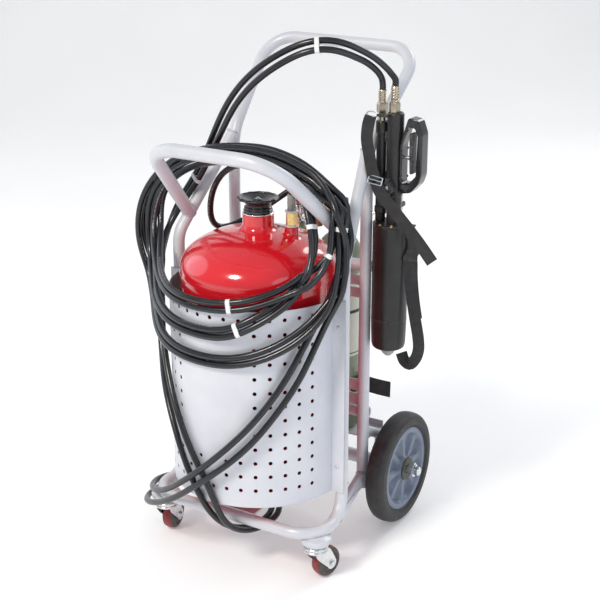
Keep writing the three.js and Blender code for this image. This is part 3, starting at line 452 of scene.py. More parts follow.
def facing_back():
    """Placement that stands a flat outline up along z, its thickness running to +Y."""
    return Matrix(((1, 0, 0, 0), (0, 0, 1, 0), (0, 1, 0, 0), (0, 0, 0, 1)))


def full_turn(count, start=0.0):
    """Angles of a whole turn in equal steps."""
    return [start + 2 * math.pi * k / count for k in range(count)]


def circle(radius, count=24):
    return [(radius * math.cos(a), radius * math.sin(a)) for a in full_turn(count)]


def lobed(radius, depth, lobes, count):
    """Round outline with shallow lobes."""
    angles = full_turn(count)
    reaches = [radius + depth * math.cos(lobes * angle) for angle in angles]
    return [(reach * math.cos(angle), reach * math.sin(angle)) for reach, angle in zip(reaches, angles)]


def rounded(profile, radius=0.8, steps=3, closed=False):
    """A [radius, height] outline with its corners rounded off."""
    count = len(profile)
    result = []
    for i, point in enumerate(profile):
        if not closed and i in (0, count - 1):
            result.append(tuple(point))
            continue
        here = Vector(point)
        back = Vector(profile[i - 1]) - here
        ahead = Vector(profile[(i + 1) % count]) - here
        if back.length < 1e-6 or ahead.length < 1e-6 or back.angle(ahead) > math.radians(165):
            result.append(tuple(here))
            continue
        reach = min(radius, back.length * 0.45, ahead.length * 0.45)
        start, end = here + back.normalized() * reach, here + ahead.normalized() * reach
        for k in range(steps + 1):
            t = k / steps
            result.append(tuple(start * (1 - t) ** 2 + here * 2 * t * (1 - t) + end * t * t))
    return result


def ellipse(radius, low, high, start, end, steps=16):
    points = []
    for k in range(steps + 1):
        angle = math.radians(start + (end - start) * k / steps)
        points.append((radius * math.cos(angle), low + (high - low) * math.sin(angle)))
    return points


def dome_height(x, y):
    share = min(1.0, math.hypot(x, y) / TANK_R)
    return TANK_WALL_TOP + (TANK_TOP - TANK_WALL_TOP) * math.sqrt(1 - share * share)


# ---------------------------------------------------------------- mesh building
class Shape:
    """A mesh built from lofts, lathes and slabs; paint picks the slot of what is added next."""

    def __init__(self):
        self.mesh = bmesh.new()
        self.uv = self.mesh.loops.layers.uv.new("UVMap")
        self.paint = 0

    def face(self, corners, uvs=None):
        try:
            face = self.mesh.faces.new(corners)
        except ValueError:
            return None
        face.material_index = self.paint
        if uvs:
            for loop, uv in zip(face.loops, uvs):
                loop[self.uv].uv = uv
        return face

    def loft(self, rings, closed=False, caps=True):
        """Skins a row of loops; a one-point ring is a tip; closed joins the last ring to the first."""
        rows = [[self.mesh.verts.new(p) for p in ring] for ring in rings]
        length, lengths = 0.0, []
        for i, ring in enumerate(rings):
            if i:
                length += (Vector(ring[0]) - Vector(rings[i - 1][0])).length * MM
            lengths.append(length)
        pairs = list(range(len(rows) - 1)) + ([len(rows) - 1] if closed else [])
        for i in pairs:
            a, b = rows[i], rows[(i + 1) % len(rows)]
            va, vb = lengths[i], lengths[(i + 1) % len(rows)]
            count = max(len(a), len(b))
            for j in range(count):
                k, u, w = (j + 1) % count, j / count, (j + 1) / count
                if len(a) == 1:
                    self.face([a[0], b[k], b[j]], [(u, va), (w, vb), (u, vb)])
                elif len(b) == 1:
                    self.face([a[j], a[k], b[0]], [(u, va), (w, va), (u, vb)])
                else:
                    self.face([a[j], a[k], b[k], b[j]], [(u, va), (w, va), (w, vb), (u, vb)])
        if caps and not closed:
            for row, order in ((rows[0], -1), (rows[-1], 1)):
                if len(row) > 2:
                    self.face(row[::order])
        return self

    def sweep(self, path, section, up=None, closed=False, scale=None):
        """Carries a [u, v] section along a path; scale(share of the path) grows or shrinks it."""
        frames = carried_frames(path, up, closed)
        rings = []
        for i, (point, (across, over)) in enumerate(zip(path, frames)):
            size = scale(i / (len(path) - 1)) if scale else 1.0
            rings.append([point + (across * u + over * v) * size for u, v in section])
        self.loft(rings, closed)
        return self

    def tube(self, path, radius=TUBE_R, wall=TUBE_WALL, count=32):
        """Hollow tube with open ends."""
        frames = carried_frames(path)
        rings = []
        for size, order in ((radius, 1), (radius - wall, -1)):
            rows = [[p + a * u + o * v for u, v in circle(size, count)] for p, (a, o) in zip(path, frames)]
            rings.extend(rows[::order])
        self.loft(rings, closed=True)
        return self

    def lathe(self, profile, at=(0, 0, 0), axis=UP, count=48, closed=False, start=0.0):
        """Revolves a [radius, height] outline about an axis through at."""
        turn = UP.rotation_difference(Vector(axis).normalized()).to_matrix()
        rings = []
        for radius, height in profile:
            if radius < 1e-6:
                rings.append([Vector(at) + turn @ Vector((0, 0, height))])
                continue
            ring = [Vector((radius * math.cos(a), radius * math.sin(a), height))
                    for a in full_turn(count, start)]
            rings.append([Vector(at) + turn @ local for local in ring])
        return self.loft(rings, closed)

    def turned(self, profile, radius, at=(0, 0, 0), axis=UP, count=48, closed=False, steps=3):
        """Revolves an outline after its corners are rounded off."""
        return self.lathe(rounded(profile, radius, steps, closed), at, axis, count, closed)

    def slab(self, outline, thick, place=None, holes=(), edge=0.5):
        """A plate from z 0 to thick over an outline with holes, rims rounded, placed by a matrix."""
        loops = [list(outline)] + [list(h) for h in holes]
        flat = [Vector((x, y, 0)) for loop in loops for x, y in loop]
        triangles = tessellate_polygon([[Vector((x, y, 0)) for x, y in loop] for loop in loops])
        before = set(self.mesh.faces)
        low = [self.mesh.verts.new(p) for p in flat]
        high = [self.mesh.verts.new(p + Vector((0, 0, thick))) for p in flat]
        for a, b, c in triangles:
            self.face([low[a], low[c], low[b]])
            self.face([high[a], high[b], high[c]])
        offset, walls = 0, []
        for loop in loops:
            count = len(loop)
            for j in range(count):
                a, b = offset + j, offset + (j + 1) % count
                walls.append(self.face([low[a], low[b], high[b], high[a]]))
            offset += count
        if edge:
            rims = {e for wall in walls if wall for e in wall.edges if e.verts[0] in low
                    and e.verts[1] in low}
            rims |= {e for wall in walls if wall for e in wall.edges if e.verts[0] in high
                     and e.verts[1] in high}
            bmesh.ops.bevel(self.mesh, geom=list(rims), offset=edge, segments=2, profile=0.6, affect="EDGES")
        added = [f for f in self.mesh.faces if f not in before]
        for face in added:
            face.material_index = self.paint
        verts = {v for f in added for v in f.verts}
        bmesh.ops.transform(self.mesh, matrix=place or Matrix(), verts=list(verts))
        return self

    def brick(self, low, high, edge=0.8):
        """A block between two corners with rounded rims."""
        (x0, y0, z0), (x1, y1, z1) = low, high
        place = Matrix.Translation((0, 0, z0))
        return self.slab([(x0, y0), (x1, y0), (x1, y1), (x0, y1)], z1 - z0, place, edge=edge)

    def bolt(self, at, axis, radius=4, head=3, hex_head=True):
        """Washer and domed or hexagon head."""
        self.lathe(rounded([(0, -1), (radius * 1.5, -1), (radius * 1.5, 0.8), (0, 0.8)], 0.3), at, axis, 24)
        top = [(0, 0.8), (radius, 0.8), (radius, head), (radius * 0.75, head + 0.6), (0, head + 0.7)]
        self.lathe(rounded(top, 0.3), at, axis, 6 if hex_head else 24)
        return self

    def bead(self, point, direction, radius, host, host_axis, host_radius, size=2.1):
        """Weld bead where a round tube running along direction meets a round host tube."""
        direction, host_axis = Vector(direction).normalized(), Vector(host_axis).normalized()
        side = direction.orthogonal().normalized()
        over = direction.cross(side)
        path = []
        count = 40
        for k in range(count):
            angle = 2 * math.pi * k / count
            start = Vector(point) + (side * math.cos(angle) + over * math.sin(angle)) * radius
            gap = start - Vector(host)
            flat = gap - host_axis * gap.dot(host_axis)
            run = direction - host_axis * direction.dot(host_axis)
            a, b, c = run.dot(run), 2 * flat.dot(run), flat.dot(flat) - host_radius**2
            root = b * b - 4 * a * c
            travel = (-b - math.sqrt(max(root, 0.0))) / (2 * a)
            path.append(start + direction * travel)
        wobble = [random.uniform(0.85, 1.2) for _ in range(count)]
        frames = carried_frames(path, closed=True)
        rings = []
        for p, (a, o), w in zip(path, frames, wobble):
            rings.append([p + (a * u + o * v) * w for u, v in circle(size, 10)])
        self.loft(rings, closed=True)
        return self

    def piece(self, name, looks, body="trolley", nodes=(), slot=None, sharp=34, bend=None):
        """Turns the mesh into an object of the shared frame that rides on a body, or, given bend, stays loose
        in the shared frame.
        """
        bmesh.ops.recalc_face_normals(self.mesh, faces=self.mesh.faces)
        bmesh.ops.transform(self.mesh, matrix=Matrix.Translation(AXIS) @ Matrix.Scale(MM, 4),
                            verts=self.mesh.verts)
        data = bpy.data.meshes.new(name)
        self.mesh.to_mesh(data)
        self.mesh.free()
        data.shade_smooth()
        data.set_sharp_from_angle(angle=math.radians(sharp))
        for look in looks:
            data.materials.append(LOOK[look])
        obj = bpy.data.objects.new(name, data)
        bpy.context.scene.collection.objects.link(obj)
        if bend:
            world(bend[0])
            world(bend[1])
            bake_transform(obj)
        else:
            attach(obj, body)
            obj.modifiers.new("face_normals", "WEIGHTED_NORMAL").keep_sharp = True
        if nodes:
            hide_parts(*nodes)
        slot or (looks[0] if looks[0] in SLOTS else "frame_paint")
        return obj


SLOTS = {m["slot"] for m in frame["record"]["materials"]}


# ---------------------------------------------------------------- tube frame
def mirrored(point, side):
    return Vector((point[0] * side, point[1], point[2]))


def base_ends(side):
    """Ends of the low tube that joins a rear post to the front frame."""
    back = mirrored((POST_X, POST_Y, BASE_BACK_Z), side)
    return back, mirrored((SHOULDER.x + 1, BASE_FRONT_Y, BASE_CORNER.z), side)


def frame_tubes():
    top = Vector((POST_X, POST_Y, POST_BEND))
    foot = Vector((POST_X, POST_Y, POST_FOOT))
    half = [foot, top, HANDLE_CORNER]
    corners = [mirrored(p, -1) for p in half] + half[::-1]
    rear = bent_path(corners, [HANDLE_RISE, HANDLE_BEND, HANDLE_BEND, HANDLE_RISE])
    Shape().tube(rear).piece("rear_tube", ["frame_paint"], nodes=["rear_frame_tube"])

    low_foot = Vector((SHOULDER.x, SHOULDER.y, BASE_CORNER.z))
    half = [top, SHOULDER, low_foot, BASE_CORNER]
    corners = [mirrored(p, -1) for p in half] + half[::-1]
    bends = [SHOULDER_BEND, FOOT_BEND, BASE_BEND, BASE_BEND, FOOT_BEND, SHOULDER_BEND]
    Shape().tube(bent_path(corners, bends)).piece("front_tube", ["frame_paint"], nodes=["front_frame_tube"])

    half = [REST_ROOT, REST_CORNER]
    corners = [mirrored(p, -1) for p in half] + half[::-1]
    rest = bent_path(corners, [REST_BEND, REST_BEND], 16)
    Shape().tube(rest, REST_R, count=36).piece("hose_rest", ["frame_paint"], nodes=["hose_rest_tube"])

    for name, side in SIDES.items():
        start, end = base_ends(side)
        Shape().tube([start, start.lerp(end, 0.5), end]).piece(
            f"base_tube_{name}", ["frame_paint"], nodes=[f"base_side_tube_{name}"])
    for level in ("upper", "lower"):
        z = centre(f"{level}_cross_tube").z
        path = [Vector((x, CROSS_Y, z)) for x in (-POST_X, 0, POST_X)]
        Shape().tube(path).piece(f"{level}_cross", ["frame_paint"], nodes=[f"{level}_cross_tube"])


def frame_welds():
    shape = Shape()
    foot_line = Vector((SHOULDER.x, 0, BASE_CORNER.z))
    for side in SIDES.values():
        post = mirrored((POST_X, POST_Y, 0), side)
        base_back, base_front = base_ends(side)
        middle = (base_back + base_front) / 2
        run = base_back - base_front
        shape.bead(middle, run, TUBE_R, post, UP, TUBE_R)
        leg = mirrored(foot_line, side)
        shape.bead(middle, -run, TUBE_R, leg, mirrored((9, -120, 0), side), TUBE_R)
        for level in ("upper", "lower"):
            z = centre(f"{level}_cross_tube").z
            shape.bead((0, CROSS_Y, z), (side, 0, 0), TUBE_R, post, UP, TUBE_R)
        rest_run = mirrored(REST_ROOT - REST_CORNER, side)
        top = mirrored((POST_X, POST_Y, POST_BEND), side)
        shoulder = mirrored(SHOULDER, side)
        shape.bead(mirrored(REST_CORNER, side), rest_run, REST_R, shoulder, top - shoulder, TUBE_R)
        shape.bead(shoulder, top - shoulder, TUBE_R, post, UP, TUBE_R)
    shape.piece("frame_weld_beads", ["weld"], slot="frame_paint")


def plates():
    for level in ("upper", "lower"):
        low, high = extent(f"{level}_rack_plate")
        place = upright(0, high.y)
        outline = [(low.x, low.z), (high.x, low.z), (high.x, high.z), (low.x, high.z)]
        slots = []
        for x in (-POST_X + 30, 0, POST_X - 30):
            mid = (low.z + high.z) / 2
            slots.append([(x + 9 * math.cos(a) + (4 if math.cos(a) > 0 else -4), mid + 3.2 * math.sin(a))
                          for a in full_turn(20)])
        Shape().slab(outline, high.y - low.y, place, slots, 0.5).piece(
            f"{level}_plate", ["frame_paint"], nodes=[f"{level}_rack_plate"])
    low, high = extent("tank_support_plate")
    leg, arm, front, arm_front, arm_back = 60, 158, low.y, 60, 105
    outline = [(-leg, front), (leg, front), (leg, arm_front), (arm, arm_front), (arm, arm_back),
               (-arm, arm_back), (-arm, arm_front), (-leg, arm_front)]
    holes = [circle_at(0, y, 7) for y in (-60, 0, 60)]
    Shape().slab(outline, high.z - low.z, Matrix.Translation((0, 0, low.z)), holes, 0.6).piece(
        "tank_seat_plate", ["frame_paint"], nodes=["tank_support_plate"])
    low, high = extent("cylinder_shelf")
    shape = Shape().brick(low, high, 0.6)
    shape.brick((low.x, high.y - 3, high.z - 0.5), (high.x, high.y, high.z + 14), 0.6)
    shape.piece("cylinder_tray", ["frame_paint"], nodes=["cylinder_shelf"])


def circle_at(x, y, radius, count=24):
    return [(x + u, y + v) for u, v in circle(radius, count)]


def hook():
    low, high = extent("gun_hook")
    x, y, z = GUN_X + 0.5, high.y - 4, low.z + 4
    corners = [(POST_X, POST_Y, z), (POST_X, y, z), (x, y, z), (x, y, high.z - 3)]
    path = bent_path(corners, [12, 12])
    path.append(Vector((x, y, high.z)))
    tip = len(path)
    shape = Shape().sweep(path, circle(4, 20), scale=lambda t: 0.6 if t > (tip - 1.5) / (tip - 1) else 1.0)
    shape.piece("gun_hook_rod", ["zinc_plate"], nodes=["gun_hook"])


# ---------------------------------------------------------------- tank
def tank():
    skin = 3
    neck_angle = math.degrees(math.acos(NECK_R / TANK_R))
    bottom = [(max(r, 0.0), z) for r, z in ellipse(TANK_R, TANK_BOTTOM + TANK_DISH, TANK_BOTTOM, 90, 0)]
    bottom[0] = (0, TANK_BOTTOM)
    dome = ellipse(TANK_R, TANK_WALL_TOP, TANK_TOP, 0, neck_angle, 26)
    seam = [(TANK_R, TANK_WALL_TOP - 16), (TANK_R + 0.9, TANK_WALL_TOP - 13),
            (TANK_R + 0.9, TANK_WALL_TOP - 7), (TANK_R, TANK_WALL_TOP - 4)]
    foot = dome[-1]
    turns = [math.pi / 2 * k / 8 for k in range(2, 9)]
    fillet = [(NECK_R + NECK_FLARE * (1 - math.sin(a)), foot[1] + NECK_FILLET * (1 - math.cos(a)))
              for a in turns]
    dome = [p for p in dome if p[0] > fillet[0][0] + 1]
    inner = TANK_R - skin
    bore_angle = math.degrees(math.acos(NECK_BORE / inner))
    inside = ellipse(inner, TANK_WALL_TOP, TANK_TOP - skin, bore_angle, 0, 20)
    floor = ellipse(inner, TANK_BOTTOM + TANK_DISH, TANK_BOTTOM + skin, 0, 90)
    floor = [(max(r, 0.0), z) for r, z in floor]
    floor[-1] = (0, TANK_BOTTOM + skin)
    lip = [(NECK_R, NECK_TOP - 1), (NECK_R - 1, NECK_TOP), (NECK_BORE + 0.6, NECK_TOP),
           (NECK_BORE, NECK_TOP - 0.6)]
    shape = Shape().lathe(bottom + seam + dome + fillet + lip + inside + floor, count=96)
    for spot, radius in ((OUTLET, OUTLET_R), (INLET, INLET_R)):
        boss(shape, spot, radius)
    shape.piece("tank_shell", ["tank_red"], nodes=["tank"])
    low, high = extent("dip_tube")
    path = [Vector((OUTLET.x, OUTLET.y, z)) for z in (low.z, high.z)]
    Shape().tube(path, 8, 1.5, 24).piece("dip_pipe", ["zinc_plate"], nodes=["dip_tube"])


def boss(shape, spot, radius):
    """Threaded boss welded to the dome, its foot flared into the dome's surface."""
    rings = []
    for share in [k / 8 for k in range(9)] + [1.6]:
        flare = radius + 7 * max(0.0, 1 - share) ** 2
        ring = []
        for angle in full_turn(48):
            x, y = spot.x + flare * math.cos(angle), spot.y + flare * math.sin(angle)
            ring.append(Vector((x, y, dome_height(x, y) - 0.6 + 7 * share)))
        rings.append(ring)
    for size, z in ((radius, spot.z - 1.2), (radius - 0.4, spot.z - 0.4), (radius - 1.2, spot.z)):
        rings.append([Vector((spot.x, spot.y, z)) + Vector((u, v, 0)) for u, v in circle(size, 48)])
    rings.append([Vector((spot.x, spot.y, spot.z))])
    shape.loft(rings)


def filler():
    low, high = extent("filler_seal_ring")
    outline = [(NECK_BORE, low.z), (NECK_R, low.z), (NECK_R + 0.4, high.z - 0.8), (NECK_R - 1, high.z),
               (NECK_BORE, high.z)]
    Shape().turned(outline, 0.6, count=64, closed=True).piece(
        "filler_ring", ["chrome_ring"], nodes=["filler_seal_ring"])
    face = NECK_TOP + 3.8
    plug = [(0, face - 23.8), (NECK_BORE - 1.4, face - 23.8), (NECK_BORE - 1.2, face), (29.4, face),
            (29.8, face + 5), (27.6, face + 6), (27.6, face + 7.6), (28.6, face + 8.6), (28.2, face + 10.5),
            (26, face + 12), (25.6, face + 15), (27, face + 19), (31, face + 23)]
    shape = Shape().turned(plug + [(30, face + 27), (14, face + 21), (0, face + 21)], 1.0, count=64)
    rim = [Vector((x, y, face + 28.0)) for x, y in lobed(38.0, 0.9, 12, 144)]
    shape.sweep(rim, [(3.0 * u, 3.6 * v) for u, v in circle(1, 16)], up=(0, 0, 1), closed=True)
    dish = [(0, face + 20), (10, face + 20), (10, face + 24.5), (7, face + 26), (0, face + 26)]
    shape.turned(dish, 1.0, count=32)
    web = [(12, face + 20.6), (24, face + 24.2), (36, face + 29.4), (38, face + 26), (30, face + 21),
           (12, face + 18)]
    shape.turned(web, 0.8, count=96, closed=True)
    shape.paint = 1
    shape.bolt((0, 0, face + 25.8), UP, 3.4, 2.6)
    shape.piece("filler_closure_cap", ["black_gloss_plastic", "zinc_plate"], "filler_closure",
                ["filler_cap"])


def outlet():
    x, y, base = OUTLET.x, OUTLET.y, OUTLET.z + 0.3
    shape = Shape()
    for z in (base, base + 30):
        shape.turned([(0, z), (14, z), (14, z + 3), (0, z + 3)], 0.7, (x, y, 0))
    shape.paint = 1
    hexagon = [(0, base + 2), (11.4, base + 2.6), (12.2, base + 4), (12.2, base + 28.6), (11.4, base + 30.2),
               (0, base + 30.6)]
    shape.lathe(hexagon, (x, y, 0), count=6, start=0.3)
    shape.piece("outlet_nipple", ["white_washer", "brass_fitting"], nodes=["outlet_fitting"],
                slot="brass_fitting")
    low = base + 33.3
    outline = [(6.7, low), (9, low), (9, low + 4), (8.6, low + 5)]
    for k in range(5):
        z = low + 7 + 4 * k
        outline += [(8.6, z), (9.0, z + 0.8), (9.0, z + 2.2), (8.6, z + 3)]
    outline += [(8.8, low + 31), (8.2, low + 32.7), (6.7, low + 32.7)]
    shape = Shape().lathe(outline, (x, y, 0), count=40, closed=True)
    shape.piece("outlet_clear_sleeve", ["clear_sleeve"], nodes=["outlet_sleeve"])


# ---------------------------------------------------------------- shield
HOLE_R, HOLE_PITCH, HOLE_SHIFT, HOLE_LOWEST = 4.2, 30.4, 4.0, 209.0
HOLE_ROWS, HOLE_COLUMNS = 13, 15
PLAIN_COLUMNS, PLAIN_ROWS = range(5, 10), range(3, 12)
FLANGE_FACE = -14.6
SHIELD_ARC = math.acos(-FLANGE_FACE / (SHIELD_R + SHIELD_THICK))
SPOKES = 16
SCREW_X, SCREW_IN = 196.4, 57.5


def sheet_point(s, z):
    """From the length along the sheet's outer face and the height to a place in space."""
    radius = SHIELD_R + SHIELD_THICK
    if abs(s) <= radius * SHIELD_ARC:
        angle = -math.pi / 2 + s / radius
        return Vector((radius * math.cos(angle), radius * math.sin(angle), z))
    edge = radius * math.sin(SHIELD_ARC)
    return Vector((math.copysign(edge + abs(s) - radius * SHIELD_ARC, s), FLANGE_FACE, z))


class Sheet(Shape):
    """The shield's sheet, laid flat as length along it and height; its patches share their corners."""

    def __init__(self):
        super().__init__()
        self.corners = {}

    def corner(self, s, z):
        key = (round(s, 2), round(z, 2))
        if key not in self.corners:
            self.corners[key] = self.mesh.verts.new(sheet_point(s, z))
        return self.corners[key]

    def patch(self, columns, rows):
        for a, b in zip(columns, columns[1:]):
            for c, d in zip(rows, rows[1:]):
                self.face([self.corner(a, c), self.corner(b, c), self.corner(b, d), self.corner(a, d)])

    def cell(self, s, z, is_open):
        """One square of the hole pattern, its round hole left open or filled."""
        outer, inner = [], []
        for angle in full_turn(SPOKES, math.pi / 4):
            c, n = math.cos(angle), math.sin(angle)
            reach = HOLE_PITCH / 2 / max(abs(c), abs(n))
            outer.append(self.corner(s + reach * c, z + reach * n))
            inner.append(self.corner(s + HOLE_R * c, z + HOLE_R * n))
        for k in range(SPOKES):
            j = (k + 1) % SPOKES
            self.face([outer[k], outer[j], inner[j], inner[k]])
        if not is_open:
            self.face(inner)


def hole_grid(sheet):
    """Lays the hole pattern, its middle panel plain, and returns the grid lines that its squares meet."""
    columns = [HOLE_SHIFT + (k - (HOLE_COLUMNS - 1) / 2) * HOLE_PITCH for k in range(HOLE_COLUMNS)]
    rows = [HOLE_LOWEST + k * HOLE_PITCH for k in range(HOLE_ROWS)]
    for i, s in enumerate(columns):
        for j, z in enumerate(rows):
            sheet.cell(s, z, not (i in PLAIN_COLUMNS and j in PLAIN_ROWS))
    steps = sorted({round(0.5 * math.tan(math.pi / 4 * k / (SPOKES / 8)), 6) for k in range(-2, 3)})
    across = sorted({s + HOLE_PITCH * t for s in columns for t in steps})
    return across, sorted({z + HOLE_PITCH * t for z in rows for t in steps})


def shield():
    """Perforated half-round sheet with a plain panel in its middle and a flat flange on each side."""
    low, high = extent("front_shield")
    sheet = Sheet()
    across, up = hole_grid(sheet)
    foot = (low.z + up[0]) / 2
    sheet.patch(across, [low.z, foot, up[0]])
    sheet.patch(across, [up[-1], high.z])
    radius = SHIELD_R + SHIELD_THICK
    bend, rim = radius * SHIELD_ARC, radius * SHIELD_ARC + high.x - radius * math.sin(SHIELD_ARC)
    full = [low.z, foot] + up + [high.z]
    sheet.patch([across[-1], (across[-1] + bend) / 2, bend, bend + 3, rim], full)
    sheet.patch([-rim, -bend - 3, -bend, (across[0] - bend) / 2, across[0]], full)
    bmesh.ops.remove_doubles(sheet.mesh, verts=sheet.mesh.verts, dist=0.02)
    obj = sheet.piece("shield_sheet", ["shield_paint", "shield_inner_shade"], nodes=["front_shield"], sharp=30)
    if outward_share(obj) < 0:
        obj.data.flip_normals()
    thick = obj.modifiers.new("thickness", "SOLIDIFY")
    thick.thickness = SHIELD_THICK * MM
    thick.offset = -1
    # The inner face takes the second, dark material: painted shade seen through the holes.
    thick.material_offset = 1
    obj.modifiers.move(1, 0)


def outward_share(obj):
    """Positive when the sheet's faces look away from the tank's axis."""
    return sum(p.normal.dot(p.center - AXIS) for p in obj.data.polygons)


def shield_screws():
    shape = Shape()
    low, high = extent("front_shield")
    for side in SIDES.values():
        for z in (low.z + SCREW_IN, high.z - SCREW_IN):
            place = Vector((side * SCREW_X, FLANGE_FACE, z))
            shape.bolt(place, (0, -1, 0), 3.4, 2.2, hex_head=False)
            shape.brick(place + Vector((-0.5, -3.6, -2.6)), place + Vector((0.5, -2.4, 2.6)), 0)
    shape.piece("shield_screw_set", ["zinc_plate"])


# ---------------------------------------------------------------- rear wheels and axle
def axle_parts():
    reach = extent("axle")[1].x
    outline = [(0, -reach), (8.4, -reach), (10, -reach + 2), (10, -reach + 11), (8.8, -reach + 11.3),
               (8.8, -reach + 14.3), (10, -reach + 14.6), (10, reach - 14.6), (8.8, reach - 14.3),
               (8.8, reach - 11.3), (10, reach - 11), (10, reach - 2), (8.4, reach), (0, reach)]
    hub = Vector((0, WHEEL_CENTRE_Y, WHEEL_R))
    Shape().lathe(outline, hub, (1, 0, 0), 40).piece("axle_shaft", ["zinc_plate"], nodes=["axle"])
    end = extent("axle_carrier_tube")[1].x
    path = [hub + Vector((x, 0, 0)) for x in (-end, 0, end)]
    Shape().tube(path, 15, 4, 36).piece("axle_carrier", ["frame_paint"], nodes=["axle_carrier_tube"])
    welds = Shape()
    for name, side in SIDES.items():
        x = side * POST_X
        corners = [(x, POST_Y, 237), (x, WHEEL_CENTRE_Y - 4, 195), tuple(hub + Vector((x, 0, 0)))]
        path = bent_path(corners, [30])
        Shape().tube(path, 11, 2, 28).piece(f"axle_strut_{name}", ["frame_paint"],
                                            nodes=[f"axle_brace_{name}"])
        run = Vector(corners[0]) - Vector(corners[1])
        welds.bead(Vector(corners[1]), run, 11, (x, POST_Y, 0), UP, TUBE_R, 1.8)
        down = Vector(corners[2]) - Vector(corners[1])
        welds.bead(Vector(corners[1]), down, 11, hub, (1, 0, 0), 15, 1.8)
        clip = Shape()
        outline = [(8.6, -1), (14.5, -1), (14.5, 1), (8.6, 1)]
        at = hub + Vector((side * (reach - 12.8), 0, 0))
        clip.turned(outline, 0.4, at, (side, 0, 0), 36, closed=True)
        lug = at + Vector((0, 0, 14))
        clip.brick(lug - Vector((1, 4, 3)), lug + Vector((1, 4, 4)), 0.4)
        clip.piece(f"axle_retainer_{name}", ["zinc_plate"], nodes=[f"axle_clip_{name}"])
    welds.piece("axle_weld_beads", ["weld"], slot="frame_paint")


RIBS = 8
WHEEL_X, BEAD_R = 210, 93.3
HUB_R, HUB_FACE = 27, 19


def rim_height(radius, angle):
    """Half thickness of the moulded rim at a radius and angle: hub, dished web, ribs, barrel."""
    hub = 1 - smoothstep(HUB_R, HUB_R + 5, radius)
    barrel = smoothstep(74, 82, radius)
    width = abs(angle) * radius
    rib_half = 7.5 + 5 * smoothstep(60, 78, radius)
    rib = 1 - smoothstep(rib_half - 3, rib_half + 3.5, width)
    crown = 12.5 - 1.5 * (radius - 50) / 30
    web = 3.5 + (crown - 3.5) * rib
    lip = max(0.0, 1 - abs(radius - 87) / 6)
    return max(20 * hub, web) * (1 - barrel) + 17.5 * barrel + lip


def rim(side, name):
    radii = [10.8, 14, 20, 25, 27, 28.5, 30, 32, 36, 42, 50, 58, 66, 71, 74, 76, 78, 80, 82, 84, 86, 87, 88,
             90, 92, 93]
    count = 128
    hub = Vector((side * WHEEL_X, WHEEL_CENTRE_Y, WHEEL_R))
    rings = []
    for sign, order in ((1, 1), (-1, -1)):
        rows = []
        for radius in radii:
            ring = []
            for angle in full_turn(count):
                off = (angle + math.pi / RIBS) % (2 * math.pi / RIBS) - math.pi / RIBS
                out = HUB_FACE if radius < HUB_R and sign > 0 else rim_height(radius, off)
                ring.append(hub + Vector((side * sign * out, radius * math.sin(angle),
                                          radius * math.cos(angle))))
            rows.append(ring)
        rings.extend(rows[::order])
    shape = Shape()
    shape.loft(rings, closed=True)
    shape.piece(f"rim_{name}", ["grey_plastic"], f"rear_wheel_{name}", [f"rear_rim_{name}"], sharp=40)


def wheels():
    for name, side in SIDES.items():
        hub = Vector((side * WHEEL_X, WHEEL_CENTRE_Y, WHEEL_R))
        half = [(BEAD_R, -16), (BEAD_R + 1.5, -19.5), (BEAD_R + 4, -21), (97, -21.4), (98, -20.6),
                (99, -20.6), (100, -21.8), (106, -22.5), (113, -22), (118.5, -19.5), (122.4, -14.5),
                (124.2, -8), (124.8, 0)]
        outline = half + [(r, -z) for r, z in half[-2::-1]]
        shape = Shape().turned(outline, 0.6, hub, (side, 0, 0), 128, closed=True, steps=2)
        for angle in full_turn(36):
            for out in (-1, 1):
                spot = hub + Vector((out * 22.3, 109 * math.sin(angle), 109 * math.cos(angle)))
                tab = [(0, -1), (1.1, -1), (1.0, 0.4), (0, 0.5)]
                shape.lathe(tab, spot, (out, 0, 0), 8)
        shape.piece(f"tyre_{name}", ["tyre_rubber"], f"rear_wheel_{name}", [f"rear_tyre_{name}"], sharp=40)
        rim(side, name)
        cap = [(10.9, 18.8), (26, 18.8), (26, 21.8), (24.5, 22.8), (22, 22.9), (21.5, 22.4), (20.5, 22.4),
               (20, 22.9), (10.9, 22.9)]
        disc = Shape().turned(cap, 0.5, hub, (side, 0, 0), 64, closed=True)
        disc.piece(f"hub_disc_{name}", ["hub_olive"], f"rear_wheel_{name}", [f"hub_cap_{name}"],
                   slot="black_plastic")


# ---------------------------------------------------------------- casters
CASTER_X, CASTER_Y = 190, -88
CASTER_TURN = {"left": 10, "right": -13}
CASTER_R, CASTER_TRAIL = 33, 30


def casters():
    pad_top = BASE_CORNER.z - TUBE_R + 4
    for name, side in SIDES.items():
        at = Vector((side * CASTER_X, CASTER_Y, 0))
        low = extent(f"caster_pad_{name}")[0].z
        pad = [(8, low), (22, low), (27, low + 2), (30.5, low + 6.5), (32, low + 12), (32, low + 16),
               (30.5, low + 17.5), (29, low + 18), (20, pad_top + 1), (8, pad_top + 1)]
        shape = Shape().turned(pad, 0.8, at, UP, 64, closed=True)
        shape.piece(f"caster_cup_{name}", ["frame_paint"], nodes=[f"caster_pad_{name}"])
        fork(name, side, at, low - 0.5)
        roller(name, side)


def swivelled(name, side, local):
    turn = Matrix.Rotation(math.radians(CASTER_TURN[name]), 4, "Z")
    return Matrix.Translation((side * CASTER_X, CASTER_Y, 0)) @ turn @ local


def axle_spot(name, side, x=0.0):
    """A place on the roller's axle, x along it from the middle."""
    return swivelled(name, side, Matrix.Translation((x, CASTER_TRAIL, CASTER_R))).translation


def axle_direction(name, side, end=1):
    return swivelled(name, side, Matrix()).to_3x3() @ Vector((end, 0, 0))


